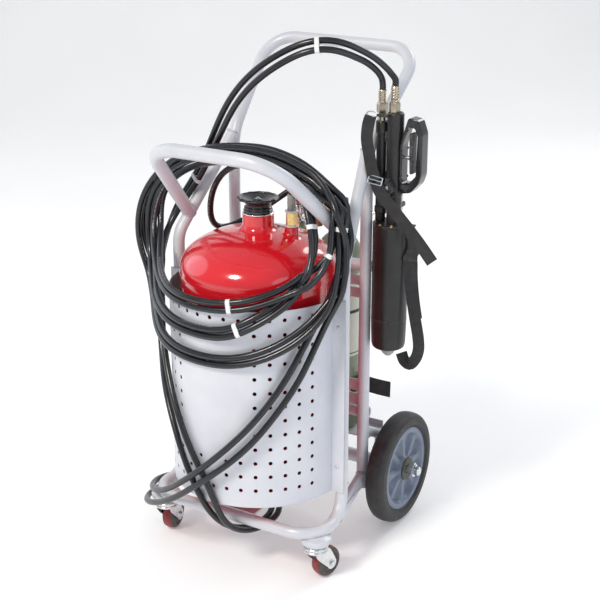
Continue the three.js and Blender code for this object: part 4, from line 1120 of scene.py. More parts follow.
def fork(name, side, at, top):
    shape = Shape()
    race = [(0, top - 18), (17, top - 18), (23, top - 15.5), (25.4, top - 12.5), (25.6, top - 10),
            (24.2, top - 8.6), (24.2, top - 7.6), (26, top - 6.2), (26, top - 2.6), (24.4, top - 0.8),
            (20, top), (7, top), (7, top + 14), (0, top + 14)]
    shape.turned(race, 0.6, at, UP, 64, steps=2)
    z0 = top - 10
    for leg in (-1, 1):
        outline = [(-17, z0), (21, z0)]
        outline += [(21 + 10 * t, z0 - 12 * t**1.5 - 2 * t) for t in (0.3, 0.6, 0.9)]
        outline += [(CASTER_TRAIL + 13 * math.cos(a), CASTER_R + 13 * math.sin(a))
                    for a in (math.radians(20 - 12.5 * k) for k in range(15))]
        outline += [(-6, z0 - 22), (-14, z0 - 12)]
        x = leg * 17
        place = Matrix(((0, 0, 1, x - 1.25), (1, 0, 0, 0), (0, 1, 0, 0), (0, 0, 0, 1)))
        shape.slab(outline, 2.5, swivelled(name, side, place), edge=0.7)
    shape.slab([(-18, -17), (18, -17), (18, 20), (-18, 20)], 3,
               swivelled(name, side, Matrix.Translation((0, 0, z0 - 3))), edge=0.8)
    for end in (-1, 1):
        shape.bolt(axle_spot(name, side, end * 18.2), axle_direction(name, side, end), 6.2, 4.2)
    shape.sweep([axle_spot(name, side, x) for x in (-17, 0, 17)], circle(4.4, 20))
    shape.piece(f"caster_yoke_{name}", ["zinc_plate"], f"caster_swivel_{name}", [f"caster_fork_{name}"])


def roller(name, side):
    spot, axis = axle_spot(name, side), axle_direction(name, side)
    half = [(5.6, -13), (12, -13), (13, -11.5), (21, -11), (22.5, -13), (26, -13.6), (29.6, -12),
            (31.6, -8.6)]
    shape = Shape()
    shape.paint = 1
    shape.turned(half + [(31.6, -7.6), (5.6, -7.6)], 0.5, spot, axis, 64, closed=True, steps=2)
    back = [(r, -z) for r, z in half + [(31.6, -7.6), (5.6, -7.6)]]
    shape.turned(back, 0.5, spot, axis, 64, closed=True, steps=2)
    shape.paint = 0
    band = [(5.6, -7.9), (31.4, -7.9), (32.4, -4.5), (32.8, 0), (32.4, 4.5), (31.4, 7.9), (5.6, 7.9)]
    shape.turned(band, 0.4, spot, axis, 64, closed=True, steps=2)
    shape.piece(f"caster_roll_{name}", ["red_tread", "dark_tread"], f"caster_roller_{name}",
                [f"caster_wheel_{name}"], slot="caster_tread")


# ---------------------------------------------------------------- air cylinders
def cylinders():
    base, top = extent("air_cylinder_right")[0].z, extent("air_cylinder_right")[1].z
    shoulder = CYLINDER_SHOULDER
    for name, side in SIDES.items():
        at = (side * CYLINDER.x, CYLINDER.y, 0)
        profile = [(0, base + 3), (20, base + 2), (30, base), (38, base), (45, base + 3),
                   (CYLINDER_R, base + 14)]
        profile += [(CYLINDER_R, shoulder)] + ellipse(CYLINDER_R, shoulder, top - 6, 0, 68, 12)
        profile += [(15, top - 5), (14, top - 3), (14, top), (0, top)]
        shape = Shape().lathe(profile, at, UP, 72)
        shape.paint = 1
        face = CYLINDER_R + 0.25
        inside = CYLINDER_R - 1
        wrap = [(inside, LABEL_LOW), (face, LABEL_LOW), (face, LABEL_HIGH), (inside, LABEL_HIGH)]
        shape.turned(wrap, 0.2, at, UP, 72, closed=True)
        shape.paint = 2
        for z, tall in ((LABEL_LOW + 6, 2.2), (472, 7), (LABEL_HIGH - 7, 2.2)):
            mark = [(inside, z), (face + 0.2, z), (face + 0.2, z + tall), (inside, z + tall)]
            shape.lathe(mark, at, UP, 72, closed=True)
        shape.piece(f"cylinder_shell_{name}", ["cylinder_paint", "label_film", "dark_mark"],
                    nodes=[f"air_cylinder_{name}"])
        cylinder_valve(name, side, at)


def cylinder_valve(name, side, at):
    low, high = extent(f"cylinder_valve_{name}")
    z = low.z
    body = [(0, z), (15, z), (15, z + 8), (12.5, z + 10), (12.5, z + 34), (14, z + 36), (14, high.z - 8),
            (9, high.z - 7), (9, high.z), (0, high.z)]
    shape = Shape().turned(body, 0.8, at, UP, 48)
    shape.turned([(0, z + 1), (15.6, z + 1), (15.6, z + 7), (0, z + 7)], 0.8, at, UP, 6)
    inward = Vector((-side, 0, 0))
    stub = [(0, 6), (8, 6), (8, 14), (10, 15), (10, 24), (8.6, 25.5), (7, 26), (7, 33), (0, 33)]
    shape.turned(stub, 0.6, (at[0], at[1], z + 24), inward, 6)
    shape.turned([(0, 6), (7, 6), (7, 33.2), (0, 33.2)], 0.6, (at[0], at[1], z + 24), inward, 32)
    shape.turned([(0, 8), (6, 8), (6, 19), (4, 20.5), (0, 20.5)], 0.6, (at[0], at[1], z + 24), (side, 0, 0),
                 6)
    shape.piece(f"valve_body_{name}", ["chrome_ring"], nodes=[f"cylinder_valve_{name}"])
    low, high = extent(f"valve_handwheel_{name}")
    wheel = Shape()
    outline = [(at[0] + x, at[1] + y) for x, y in lobed(19.2, 1.7, 6, 96)]
    wheel.slab(outline, high.z - low.z - 3, Matrix.Translation((0, 0, low.z)), edge=2.0)
    wheel.turned([(0, high.z - 5), (11, high.z - 5), (9, high.z - 0.5), (0, high.z)], 1.0, at, UP, 36)
    wheel.paint = 1
    wheel.bolt((at[0], at[1], high.z - 1.2), UP, 2.6, 1.4)
    wheel.piece(f"handwheel_knob_{name}", ["black_plastic", "zinc_plate"], f"handwheel_{name}",
                [f"valve_handwheel_{name}"])


def round_cylinder(angle, reach, z):
    """A place beside the right cylinder, at an angle and a distance from its axis."""
    return Vector((CYLINDER.x + reach * math.cos(angle), CYLINDER.y + reach * math.sin(angle), z))


def cylinder_strap():
    low, high = extent("cylinder_strap")
    mid = (low.z + high.z) / 2
    radius = CYLINDER_R + 2.4
    path = [round_cylinder(-math.pi / 2 + math.pi * k / 24, radius, mid) for k in range(25)]
    loop = path + [Vector((-p.x, 2 * CYLINDER.y - p.y, p.z)) for p in path]
    half = (high.z - low.z) / 2
    section = strap_section(half, 0.9)
    shape = Shape().sweep(loop, section, up=(0, 0, 1), closed=True)
    start = Vector((CYLINDER.x + 6, CYLINDER.y + radius + 1.8, mid))
    tail = [start]
    tail += [round_cylinder(math.pi / 2 - math.pi / 2 * k / 12, radius + 2.0, mid) for k in range(13)]
    tail = tail[:-2] + [Vector((CYLINDER.x + 56, CYLINDER.y + 14, mid)), Vector((122, CYLINDER.y + 5, mid)),
                        Vector((150, CYLINDER.y + 2, mid - 0.5)), Vector((high.x, CYLINDER.y + 3, mid - 1))]
    shape.sweep(smooth_path(tail, 4), section, up=(0, 0, 1))
    shape.paint = 1
    buckle = Vector((CYLINDER.x - 14, CYLINDER.y + radius + 2, mid))
    frame_loop = [(-half - 4, -11), (half + 4, -11), (half + 4, 11), (-half - 4, 11)]
    window = [(-half - 0.5, -8), (half + 0.5, -8), (half + 0.5, -1.2), (-half - 0.5, -1.2)]
    other = [(x, -y) for x, y in window]
    place = Matrix.Translation(buckle) @ Matrix(((0, 1, 0, 0), (0, 0, 1, 0), (1, 0, 0, 0), (0, 0, 0, 1)))
    shape.slab(frame_loop, 2.4, place, [window, other], 0.7)
    shape.piece("cylinder_webbing", ["black_webbing", "black_plastic"], nodes=["cylinder_strap"])


def strap_section(half, thick):
    """Flat section with rolled edges: [along the width, through the thickness]."""
    return [(-half, -thick * 0.6), (-half + 0.8, -thick), (half - 0.8, -thick), (half, -thick * 0.6),
            (half, thick * 0.6), (half - 0.8, thick), (-half + 0.8, thick), (-half, thick * 0.6)]


def regulator():
    low = extent("regulator")[0]
    y, z0, z1 = CYLINDER.y, low.z + 14, low.z + 46
    shape = Shape().brick((-17.6, y - 13.8, z0), (17.6, y + 13.8, z1), 2)
    bonnet = [(0, z1 - 1), (13, z1 - 1), (13, z1 + 4), (11.5, z1 + 5), (11.5, z1 + 7), (13, z1 + 8),
              (12, z1 + 16), (0, z1 + 16)]
    shape.turned(bonnet, 0.8, (0, y, 0), UP, 40)
    foot = [(0, z0 + 1), (9, z0 + 1), (9, z0 - 12), (7, z0 - 14), (0, z0 - 14)]
    shape.turned(foot, 0.8, (0, y, 0), UP, 6)
    shape.turned([(0, 12), (10, 12), (10, 14.2), (7, 14.3), (0, 14.3)], 0.3, (0, y, (z0 + z1) / 2),
                 (0, 1, 0), 6)
    shape.piece("regulator_body", ["brass_fitting"], nodes=["regulator"])


def gauge():
    low, high = extent("gauge_case")
    at = Vector((0, low.y, (low.z + high.z) / 2))
    case = [(0, 0), (21, 0), (23, 3), (23, 12), (23.4, 12.6), (22.6, 14), (20.6, 14), (20.4, 9), (0, 9)]
    shape = Shape().turned(case, 0.6, at, (0, 1, 0), 64)
    shape.paint = 1
    shape.lathe([(0, 8.8), (20.3, 8.8), (20.3, 9.2), (0, 9.2)], at, (0, 1, 0), 64)
    shape.paint = 2
    for k in range(11):
        angle = math.radians(-135 + 27 * k)
        spot = at + Vector((16.5 * math.sin(angle), 9.1, 16.5 * math.cos(angle)))
        turn = Matrix.Translation(spot) @ Matrix.Rotation(angle, 4, "Y")
        place = turn @ facing_back()
        shape.slab([(-0.35, -2), (0.35, -2), (0.35, 2), (-0.35, 2)], 0.25, place, edge=0)
    shape.piece("gauge_housing", ["chrome_ring", "dial", "dark_mark"], nodes=["gauge_case"])
    pointer(at)


def pointer(at):
    lo, hi = extent("gauge_needle")
    hand = Shape()
    swing = Matrix.Rotation(math.radians(needle_angle(lo, hi, at)), 4, "Y")
    place = Matrix.Translation(at + Vector((0, 10, 0))) @ swing @ facing_back()
    hand.slab([(-1.8, -5), (1.8, -5), (1.0, 2), (0.35, 15.6), (-0.35, 15.6), (-1.0, 2)], 0.7, place,
              edge=0.15)
    hand.lathe([(0, 9.8), (2.6, 9.8), (2.4, 11.4), (0, 11.6)], at, (0, 1, 0), 24)
    hand.piece("gauge_pointer_hand", ["black_plastic"], "gauge_pointer", ["gauge_needle"])


def needle_angle(low, high, at):
    """Angle of the CAD needle from straight up, from the corner of its box farthest from the dial's axis."""
    corners = [Vector((x, 0, z)) for x in (low.x - at.x, high.x - at.x)
               for z in (low.z - at.z, high.z - at.z)]
    tip = max(corners, key=lambda p: p.length)
    return math.degrees(math.atan2(tip.x, tip.z))


def supply_line():
    start = Vector((0, extent("supply_pipe")[1].y, 680))
    corners = [start, (0, 165, 683), (INLET.x, INLET.y, 752), (INLET.x, INLET.y, INLET.z + 0.5)]
    shape = Shape().sweep(bent_path(corners, [35, 18], 14), circle(5, 24))
    nut = [(0, 0), (8, 0), (9, 1), (9, 12), (8, 13), (5.2, 13), (0, 13)]
    shape.lathe(nut, (INLET.x, INLET.y, INLET.z + 0.3), UP, 6)
    shape.lathe(nut, start, (0, -1, 0), 6)
    shape.piece("supply_line", ["zinc_plate"], nodes=["supply_pipe"])


# ---------------------------------------------------------------- hand gun
BODY_X, BODY_R, BODY_TOP = 6, 17, 938
LUG_Z, KNOB_Z = 735, 790
WATER_X, WATER_R, WATER_TOP = -25, 10.5, 918


def at_gun(x, y=0.0, z=0.0):
    return Vector((GUN_X + x, GUN_Y + y, z))


def barrel():
    low, top = GUN_LOW, FLANGE
    profile = [(12, low), (30, low), (33.5, low + 3), (35.5, low + 10), (36.6, low + 40), (37, low + 60),
               (37, top - 1), (36.4, top), (0, top), (0, top - 8), (33, top - 8), (33, low + 20),
               (12, low + 8)]
    outer = rounded(profile[:9], 0.8)
    shape = Shape().lathe(outer + profile[9:] + [(12, low)], at_gun(0), UP, 96)
    for z in (low + 62, low + 66):
        shape.lathe([(36.6, z), (37.25, z + 0.6), (37.25, z + 1.4), (36.6, z + 2)], at_gun(0), UP, 96,
                    closed=True)
    shape.piece("barrel_shell", ["gun_black"], "gun", ["gun_barrel"])
    nozzle = [(0, low - 20), (6, low - 20), (9, low - 17), (12, low - 14), (15, low - 9), (17, low - 5),
              (18, low - 0.3), (0, low - 0.3)]
    shape = Shape().turned(nozzle, 1.0, at_gun(0), UP, 48)
    shape.piece("nozzle_tip", ["nozzle_plastic"], "gun", ["gun_nozzle"], slot="grey_plastic")


def gun_body():
    base = FLANGE + 0.3
    shape = Shape()
    shape.turned([(0, base), (37.3, base), (37.4, base + 4), (0, base + 4)], 0.6, at_gun(0), UP, 96)
    x0, y0 = at_gun(28).x, GUN_Y
    shape.brick((x0, y0 - 11, base), (at_gun(52).x, y0 + 11, base + 4), 1.0)
    main = [(0, base + 3), (15, base + 3), (15, base + 26), (13.4, base + 28), (13.4, base + 34),
            (15.6, base + 36), (15.6, base + 60), (BODY_R, base + 64), (BODY_R, BODY_TOP - 3),
            (BODY_R - 2.5, BODY_TOP), (0, BODY_TOP)]
    shape.turned(main, 1.0, at_gun(BODY_X), UP, 64)
    shape.brick(at_gun(-10, -9, base + 96), at_gun(6, 9, base + 112), 2)
    shape.brick(at_gun(-14, -8, BODY_TOP - 60), at_gun(4, 8, BODY_TOP - 40), 2)
    lug = Vector((GUN_X + 0.5, extent("gun_hook")[1].y - 4, LUG_Z))
    reach = [(lug.x - 8, GUN_Y + 10), (lug.x + 8, GUN_Y + 10), (lug.x + 8, lug.y + 3)]
    reach += [(lug.x + 8 * math.cos(a), lug.y + 3 + 6 * math.sin(a))
              for a in (math.pi * k / 12 for k in range(1, 12))]
    reach += [(lug.x - 8, lug.y + 3)]
    shape.slab(reach, 8, Matrix.Translation((0, 0, lug.z)), [circle_at(lug.x, lug.y, 5.2)], 0.8)
    ring = smooth_ring(at_gun(-34, -20, BODY_TOP - 4), 13)
    shape.paint = 1
    for x, y in ((-30, -12), (-30, 12), (34, -2), (16, -30), (16, 30), (-8, -32)):
        shape.bolt(at_gun(x, y, base + 4), UP, 2.6, 2.2, hex_head=False)
    shape.paint = 2
    nut_x = BODY_X - 3
    nut = [(0, BODY_TOP - 1), (10.4, BODY_TOP - 1), (11.5, BODY_TOP + 1), (11.5, BODY_TOP + 17),
           (10.4, BODY_TOP + 20), (0, BODY_TOP + 20)]
    shape.lathe(nut, at_gun(nut_x), UP, 6, start=0.2)
    ferrule(shape, at_gun(nut_x, 0, BODY_TOP + 20), 32)
    shape.paint = 3
    shape.sweep(ring, circle(1.5, 12), closed=True)
    shape.paint = 0
    shape.brick(at_gun(-24, -26, BODY_TOP - 8), at_gun(0, -12, BODY_TOP - 2), 1.5)
    shape.piece("gun_valve_block", ["gun_black", "brass_fitting", "nickel_brass", "zinc_plate"], "gun",
                ["gun_body"])


def smooth_ring(at, half, depth=5):
    """A flat wire loop, wider than deep, lying along x and hanging down in z."""
    points = []
    for angle in full_turn(32):
        points.append(at + Vector((half * abs(math.cos(angle)) ** 0.7 * math.copysign(1, math.cos(angle)),
                                   -4, depth * math.sin(angle))))
    return points


def ferrule(shape, at, length):
    """Crimped end sleeve of a hose."""
    outline = [(0, 0), (7.4, 0), (8.2, 1), (8.2, 5), (7.2, 6)]
    crimps = 4
    step = (length - 10) / crimps
    for k in range(crimps):
        z = 7 + step * k
        outline += [(8.1, z), (8.4, z + step * 0.2), (8.4, z + step * 0.6), (7.7, z + step * 0.8)]
    outline += [(8.2, length - 2), (7.4, length), (0, length)]
    shape.lathe(outline, at, UP, 40)


def water_tube():
    base = FLANGE + 0.5
    x, r, top = WATER_X, WATER_R, WATER_TOP
    profile = [(0, base), (r, base), (r, base + 20), (r + 1.8, base + 22), (r + 1.8, base + 34),
               (r, base + 36), (r, top - 26), (r + 2, top - 24), (r + 2, top - 3), (r + 0.5, top), (0, top)]
    shape = Shape().turned(profile, 0.8, at_gun(x), UP, 48)
    shape.paint = 1
    shape.turned([(0, top - 1), (8, top - 1), (8, top + 15), (0, top + 15)], 0.5, at_gun(x), UP, 40)
    nut = [(0, top + 14), (10.4, top + 14), (11.5, top + 16), (11.5, top + 33), (10.4, top + 36),
           (0, top + 36)]
    shape.lathe(nut, at_gun(x), UP, 6, start=0.5)
    ferrule(shape, at_gun(x, 0, top + 36), 26)
    shape.piece("water_tube", ["gun_black", "nickel_brass"], "gun", ["gun_water_tube"])


GRIP_OUT, GRIP_LOW, GRIP_HIGH, GRIP_HALF = 72, 774, 932, 14


def grip():
    root, out, low, high = BODY_X + BODY_R + 0.3, GRIP_OUT, GRIP_LOW, GRIP_HIGH
    outline = [(root, low + 2), (out - 24, low + 6), (out - 6, low + 26), (out, low + 44), (out, high - 30),
               (out - 10, high - 3), (out - 32, high), (root, high - 52)]
    window = [(root + 5, low + 24), (out - 28, low + 26), (out - 13, low + 42), (out - 11, high - 34),
              (out - 17, high - 20), (out - 32, high - 18), (root + 5, high - 58)]
    turn = upright(GUN_X, GUN_Y + GRIP_HALF)
    shape = Shape()
    edge = rounded(outline, 5, 4, closed=True)
    hole = rounded(window, 4, 4, closed=True)
    shape.slab(edge, 2 * GRIP_HALF, turn, [hole], 2.2)
    for z in (low + 34, high - 66):
        for y in (-1, 1):
            shape.bolt(at_gun(root + 3.2, y * (GRIP_HALF - 0.4), z), (0, y, 0), 2.2, 1.6, hex_head=False)
    pin = high - 17
    path = [at_gun(out - 26, y, pin) for y in (-GRIP_HALF - 1, 0, GRIP_HALF + 1)]
    shape.sweep(path, circle(3, 20))
    shape.piece("grip_handle", ["black_gloss_plastic"], "gun", ["gun_grip"])


def trigger():
    low, high = GRIP_LOW, GRIP_HIGH
    x, half = GRIP_OUT - 26, 9
    bar = [(x - 5, high - 32), (x + 4, high - 29.5), (x + 3.2, (low + high) / 2 + 10), (x + 3.5, low + 44),
           (x - 3, low + 44), (x - 4.2, (low + high) / 2 + 8)]
    turn = upright(GUN_X, GUN_Y + half)
    Shape().slab(rounded(bar, 2, 4, closed=True), 2 * half, turn, edge=1.6).piece(
        "trigger_bar", ["black_plastic"], "trigger", ["gun_trigger"])
    height = (low + high) / 2 - 4
    path = [at_gun(px, 0, height) for px in (BODY_X + BODY_R + 1, BODY_X + BODY_R + 8, x - 5.5)]
    shape = Shape().sweep(path, circle(3, 20))
    shape.turned([(3, 0), (4.6, 0), (4.6, 5), (3, 5)], 0.4, at_gun(x - 12, 0, height), (1, 0, 0), 24,
                 closed=True)
    shape.piece("trigger_rod_link", ["zinc_plate"], "trigger_rod", ["trigger_link"])


def knob():
    at = at_gun(BODY_X, -BODY_R - 0.3, KNOB_Z)
    outline = lobed(12.4, 0.5, 20, 80)
    face = Matrix.Translation(at) @ upright()
    shape = Shape().slab(outline, 16, face, edge=1.2)
    bar = [(-4, -19), (4, -19), (4, 19), (-4, 19)]
    shape.slab(rounded(bar, 3, 4, closed=True), 10, face @ Matrix.Translation((0, 0, 8)),
               edge=1.4)
    shape.paint = 1
    shape.bolt(at + Vector((0, -17.4, 0)), (0, -1, 0), 2.4, 1.6)
    shape.piece("valve_knob_grip", ["black_plastic", "zinc_plate"], "valve_knob", ["gun_valve_knob"])


STRAP_FACE = Vector((0.49, -0.80, 0.34))


def sling(shape, points, half=12.0, face=STRAP_FACE):
    """Webbing through the points, its flat side turned to face."""
    path = smooth_path(points, 4)
    section = strap_section(half, 0.9)
    rings = []
    for point, along in zip(path, tangents(path)):
        over = (face - along * face.dot(along)).normalized()
        across = over.cross(along)
        rings.append([point + across * u + over * v for u, v in section])
    shape.loft(rings)


def facing(at, face, tilt):
    """Placement of a flat plate whose thickness points to face, turned about it by tilt degrees."""
    over = face.normalized()
    side = UP.cross(over).normalized()
    rise = over.cross(side)
    turn = Matrix((side, rise, over)).transposed().to_4x4()
    return Matrix.Translation(at) @ turn @ Matrix.Rotation(math.radians(tilt), 4, "Z")


def slings():
    front = -(BODY_R + 29)
    upper = [(-37, -26, 930), (-37, -36, 916), (-34, front, 888), (-28, front, 856), (-22, front, 828),
             (-14, front, 806)]
    lower = [(-13, front, 802), (0, front, 780), (20, front, 760), (44, front, 736), (68, front, 712),
             (94, front, 684), (118, front, 656)]
    under = [(-37, -26, 930), (-38, -32, 914), (-36, front + 4, 886), (-30, front + 4, 854),
             (-24, front + 4, 826), (-15, front + 4, 800)]
    shape = Shape()
    sling(shape, [at_gun(*p) for p in upper])
    sling(shape, [at_gun(*p) for p in lower])
    sling(shape, [at_gun(*p) for p in under], 11.5)
    shape.paint = 1
    place = facing(at_gun(-14, front, 806), STRAP_FACE, -16)
    loop = rounded([(-15, -9), (15, -9), (15, 9), (-15, 9)], 2.5, 3, closed=True)
    window = [(-12.4, -6.6), (12.4, -6.6), (12.4, -1.2), (-12.4, -1.2)]
    shape.slab(loop, 2.6, place, [window, [(u, -v) for u, v in window]], 0.8)
    shape.piece("sling_upper_webbing", ["black_webbing", "zinc_plate"], "gun", ["gun_sling_upper"])
    shape = Shape()
    outer = [(45, -4, 702), (56, -6, 680), (57, -6, 660), (48, -6, 640), (50, -6, 600), (56, -6, 556),
             (65, -6, 510), (73, -6, 470), (74, -6, 446), (67, -6, 424), (54, -6, 410), (42, -6, 416),
             (34, -5, 432)]
    inner = [(47, 2, 702), (40, 2, 680), (41, 2, 660), (50, -1, 640), (53, -2, 600), (58, -2, 556),
             (66, -2, 512)]
    sling(shape, [at_gun(*p) for p in outer])
    sling(shape, [at_gun(*p) for p in inner], 11.5)
    shape.paint = 1
    place = facing(at_gun(49, -5, 641), STRAP_FACE, -6)
    shape.slab(rounded([(-14.5, -6), (14.5, -6), (14.5, 6), (-14.5, 6)], 2, 3, closed=True), 3.4, place,
               edge=0.8)
    shape.piece("sling_lower_webbing", ["black_webbing", "black_plastic"], "gun", ["gun_sling_lower"])


# ---------------------------------------------------------------- hoses
HOSE_PAIR = 15.3
COIL_END = 3.2
COIL_STEPS = 24
COIL_LOW, COIL_DROP = 636, 57
COIL_HIGH, COIL_CLIMB = 832, 11
COIL_RIGHT, COIL_RIGHT_GROWTH = 204, 9
COIL_LEFT, COIL_LEFT_GROWTH = 226, 26
COIL_TOP_Y = 20
CROSSING_IN, CROSSING_OUT = 42, 22
WRAP_START, WRAP_DEPTH = 805, 195
WRAP_R = SHIELD_R + SHIELD_THICK + HOSE_R + 3


def coil_centre(turn):
    """Spiral loop of the coil: whole turns at the top, half turns below, hung over the shield."""
    angle = 2 * math.pi * turn
    lift = 0.5 + 0.5 * math.cos(angle)
    sway = math.sin(angle)
    z = (COIL_LOW - COIL_DROP * turn) * (1 - lift) + (COIL_HIGH + COIL_CLIMB * turn) * lift
    if sway > 0:
        x = (COIL_RIGHT + COIL_RIGHT_GROWTH * turn) * sway**0.85
        upper_y = COIL_TOP_Y - 0.15 * x
    else:
        x = -(COIL_LEFT + COIL_LEFT_GROWTH * turn) * abs(sway) ** 0.8
        upper_y = COIL_TOP_Y + 0.05 * x
    front = -WRAP_R * (1 - min(1.0, abs(x) / (1.3 * WRAP_R)) ** 2.5)
    share = min(1.0, max(0.0, (WRAP_START - z) / WRAP_DEPTH))
    crossing = smoothstep(1.0, 1.2, turn) * (1 - smoothstep(1.4, 1.5, turn))
    y = upper_y * (1 - share) + front * share
    return Vector((x - CROSSING_IN * crossing, y - CROSSING_OUT * crossing, z))


def coil_point(turn, strand):
    """The second hose lies in front of the first at the top and sides, and below it at the bottom."""
    here = coil_centre(turn)
    along = (coil_centre(turn + 0.01) - coil_centre(turn - 0.01)).normalized()
    front = Vector((0, -1, 0))
    front = (front - along * front.dot(along)).normalized()
    below = front.cross(along)
    roll = math.pi / 2 * smoothstep(0.45, 0.95, 0.5 - 0.5 * math.cos(2 * math.pi * turn))
    return here + (front * math.cos(roll) + below * math.sin(roll)) * HOSE_PAIR * strand


# Waypoints of the first and second hose, found from the photograph with a camera helper and adjusted by hand.
# They run from the coil down across the shield, round the left corner, under the tank, up the left side and
# over to the gun.
LONG_LOOP = [
    ((212, -52, 630), (224, -64, 622)), ((188, -78, 572), (198, -67, 560)),
    ((172, -103, 523), (182, -90, 505)), ((149, -134, 456), (166, -112, 450)),
    ((125, -158, 409), (136, -148, 387)), ((93, -181, 359), (105, -174, 335)),
    ((51, -200, 311), (65, -196, 288)), ((-5, -208, 256), (11, -208, 240)),
    ((-52, -203, 216), (-38, -206, 200)), ((-93, -190, 184), (-80, -196, 166)),
    ((-136, -170, 154), (-126, -179, 134)), ((-176, -147, 133), (-174, -156, 108)),
    ((-210, -116, 122), (-215, -131, 90)), ((-231, -62, 112), (-243, -80, 80)),
    ((-228, -8, 98), (-240, -18, 79)), ((-206, 54, 91), (-204, 54, 75)),
    ((-160, 92, 90), (-152, 98, 75)), ((-104, 84, 92), (-97, 98, 84)),
    ((-36, 46, 92), (-29, 60, 92)), ((22, 12, 92), (33, 23, 92)),
    ((48, -26, 88), (63, -22, 88)), ((44, -74, 82), (59, -77, 82)),
    ((27, -118, 83), (42, -123, 83)), ((8, -156, 106), (27, -160, 106)),
    ((-8, -184, 144), (21, -187, 144)), ((-22, -193, 178), (8, -194, 194)),
    ((-46, -189, 214), (-22, -193, 242)), ((-80, -177, 268), (-60, -184, 296)),
    ((-115, -157, 324), (-98, -167, 358)), ((-158, -122, 376), (-144, -131, 426)),
    ((-200, -72, 428), (-188, -84, 494)), ((-222, -48, 492), (-212, -56, 560)),
    ((-234, -30, 560), (-228, -34, 622)), ((-246, 2, 622), (-236, 4, 664)),
    ((-246, 34, 676), (-228, 34, 700)), ((-230, 46, 720), (-208, 44, 738)),
    ((-196, 47, 765), (-174, 42, 776)), ((-168, 46, 812), (-145, 37, 822)),
    ((-138, 43, 872), (-112, 29, 874)), ((-99, 40, 944), (-73, 26, 942)),
    ((-48, 38, 1003), (-23, 24, 996)), ((20, 42, 1052), (37, 28, 1039)),
    ((86, 58, 1084), (96, 45, 1070)), ((127, 78, 1087), (134, 66, 1072)),
    ((160, 108, 1070), (162, 98, 1054)), ((190, 146, 1040), (180, 138, 1029)),
]


def hose_points(strand):
    """Every point that one hose passes through, from its fitting to the gun."""
    if strand:
        first = round(0.125 * COIL_STEPS)
        points = [(OUTLET.x, OUTLET.y, OUTLET.z + 66), (OUTLET.x, OUTLET.y, OUTLET.z + 81), (77, 4, 815),
                  (98, -9, 822)]
        water = at_gun(WATER_X, 0, WATER_TOP + 60)
        end = [water + Vector((-1, -8, 30)), water + Vector((0, 0, 14)), water]
    else:
        first = 1
        points = [(0, CYLINDER.y, 712), (0, CYLINDER.y, 730), (-36, 216, 738), (-106, 168, 686),
                  (-148, 120, 656), (-167, 80, 655), (-165, 63, 695), (-153, 54, 745), (-126, 46, 790),
                  (-86, 38, 818), (-40, 30, 830)]
        air = at_gun(BODY_X - 3, 0, BODY_TOP + 50)
        end = [air + Vector((-10, -3, 28)), air + Vector((0, 0, 14)), air]
    coil = [coil_point(i / COIL_STEPS, strand) for i in range(first, round(COIL_END * COIL_STEPS) + 1)]
    return [Vector(p) for p in points] + coil + [Vector(pair[strand]) for pair in LONG_LOOP] + end


SETTLE_GAP, SETTLE_SHARE, SETTLE_EASE, SETTLE_ROUNDS = 1.5, 0.9, 0.2, 70
SETTLE_SPACING, SETTLE_NEAR, SETTLE_ENDS = 8.5, 9, 12
HOSE_POSTS = [(mirrored(REST_ROOT, side), mirrored(REST_CORNER, side), REST_R) for side in (-1, 1)]
HOSE_POSTS += [(mirrored((SHOULDER.x, 0, BASE_CORNER.z), side), mirrored(SHOULDER, side), TUBE_R)
               for side in (-1, 1)]


def clear_post(point, post):
    """Moves one hose point out of a round bar."""
    start, end, radius = post
    nearest, share = intersect_point_line(point, start, end)
    nearest = start.lerp(end, min(1.0, max(0.0, share)))
    away = point - nearest
    reach = radius + HOSE_R + 2 * SETTLE_GAP
    if away.length < reach:
        point[:] = nearest + away.normalized() * reach


def close_pairs(paths):
    """Pairs of hose points closer than a hose is wide, neighbours along one hose left out."""
    flat = [(strand, i) for strand, path in enumerate(paths) for i in range(len(path))]
    tree = KDTree(len(flat))
    for k, (strand, i) in enumerate(flat):
        tree.insert(paths[strand][i], k)
    tree.balance()
    for k, (strand, i) in enumerate(flat):
        for _, other, _ in tree.find_range(paths[strand][i], 2 * HOSE_R + SETTLE_GAP):
            same = flat[other][0] == strand and other - k < SETTLE_NEAR
            if other > k and not same:
                yield flat[k], flat[other]


def clear_pair(paths, one, two):
    a, b = paths[one[0]][one[1]], paths[two[0]][two[1]]
    apart = b - a
    lack = 2 * HOSE_R + SETTLE_GAP - apart.length
    if lack <= 0:
        return
    push = apart.normalized() * lack / 2 * SETTLE_SHARE
    for (strand, i), sign in ((one, -1), (two, 1)):
        if SETTLE_ENDS <= i < len(paths[strand]) - SETTLE_ENDS:
            paths[strand][i] += push * sign


def relax(path):
    """Evens out one hose a little."""
    before = [point.copy() for point in path]
    for i in range(SETTLE_ENDS, len(path) - SETTLE_ENDS):
        path[i] = before[i].lerp((before[i - 1] + before[i + 1]) / 2, SETTLE_EASE)


def settle(paths):
    """Both hoses eased for a set number of rounds, pushing their points out of the other hose, out of
    themselves and out of the bars.
    """
    for _ in range(SETTLE_ROUNDS):
        for path in paths:
            relax(path)
        for one, two in list(close_pairs(paths)):
            clear_pair(paths, one, two)
        for path in paths:
            for point in path[SETTLE_ENDS:-SETTLE_ENDS]:
                for post in HOSE_POSTS:
                    clear_post(point, post)
    return [smooth_path(path[:1] + path[1:-1:2] + path[-1:], 5) for path in paths]


LIFT_LINE = Vector((0.25, 0.7, 0.67))
LIFT_BEND = (LIFT_LINE * 668, LIFT_LINE * 806)


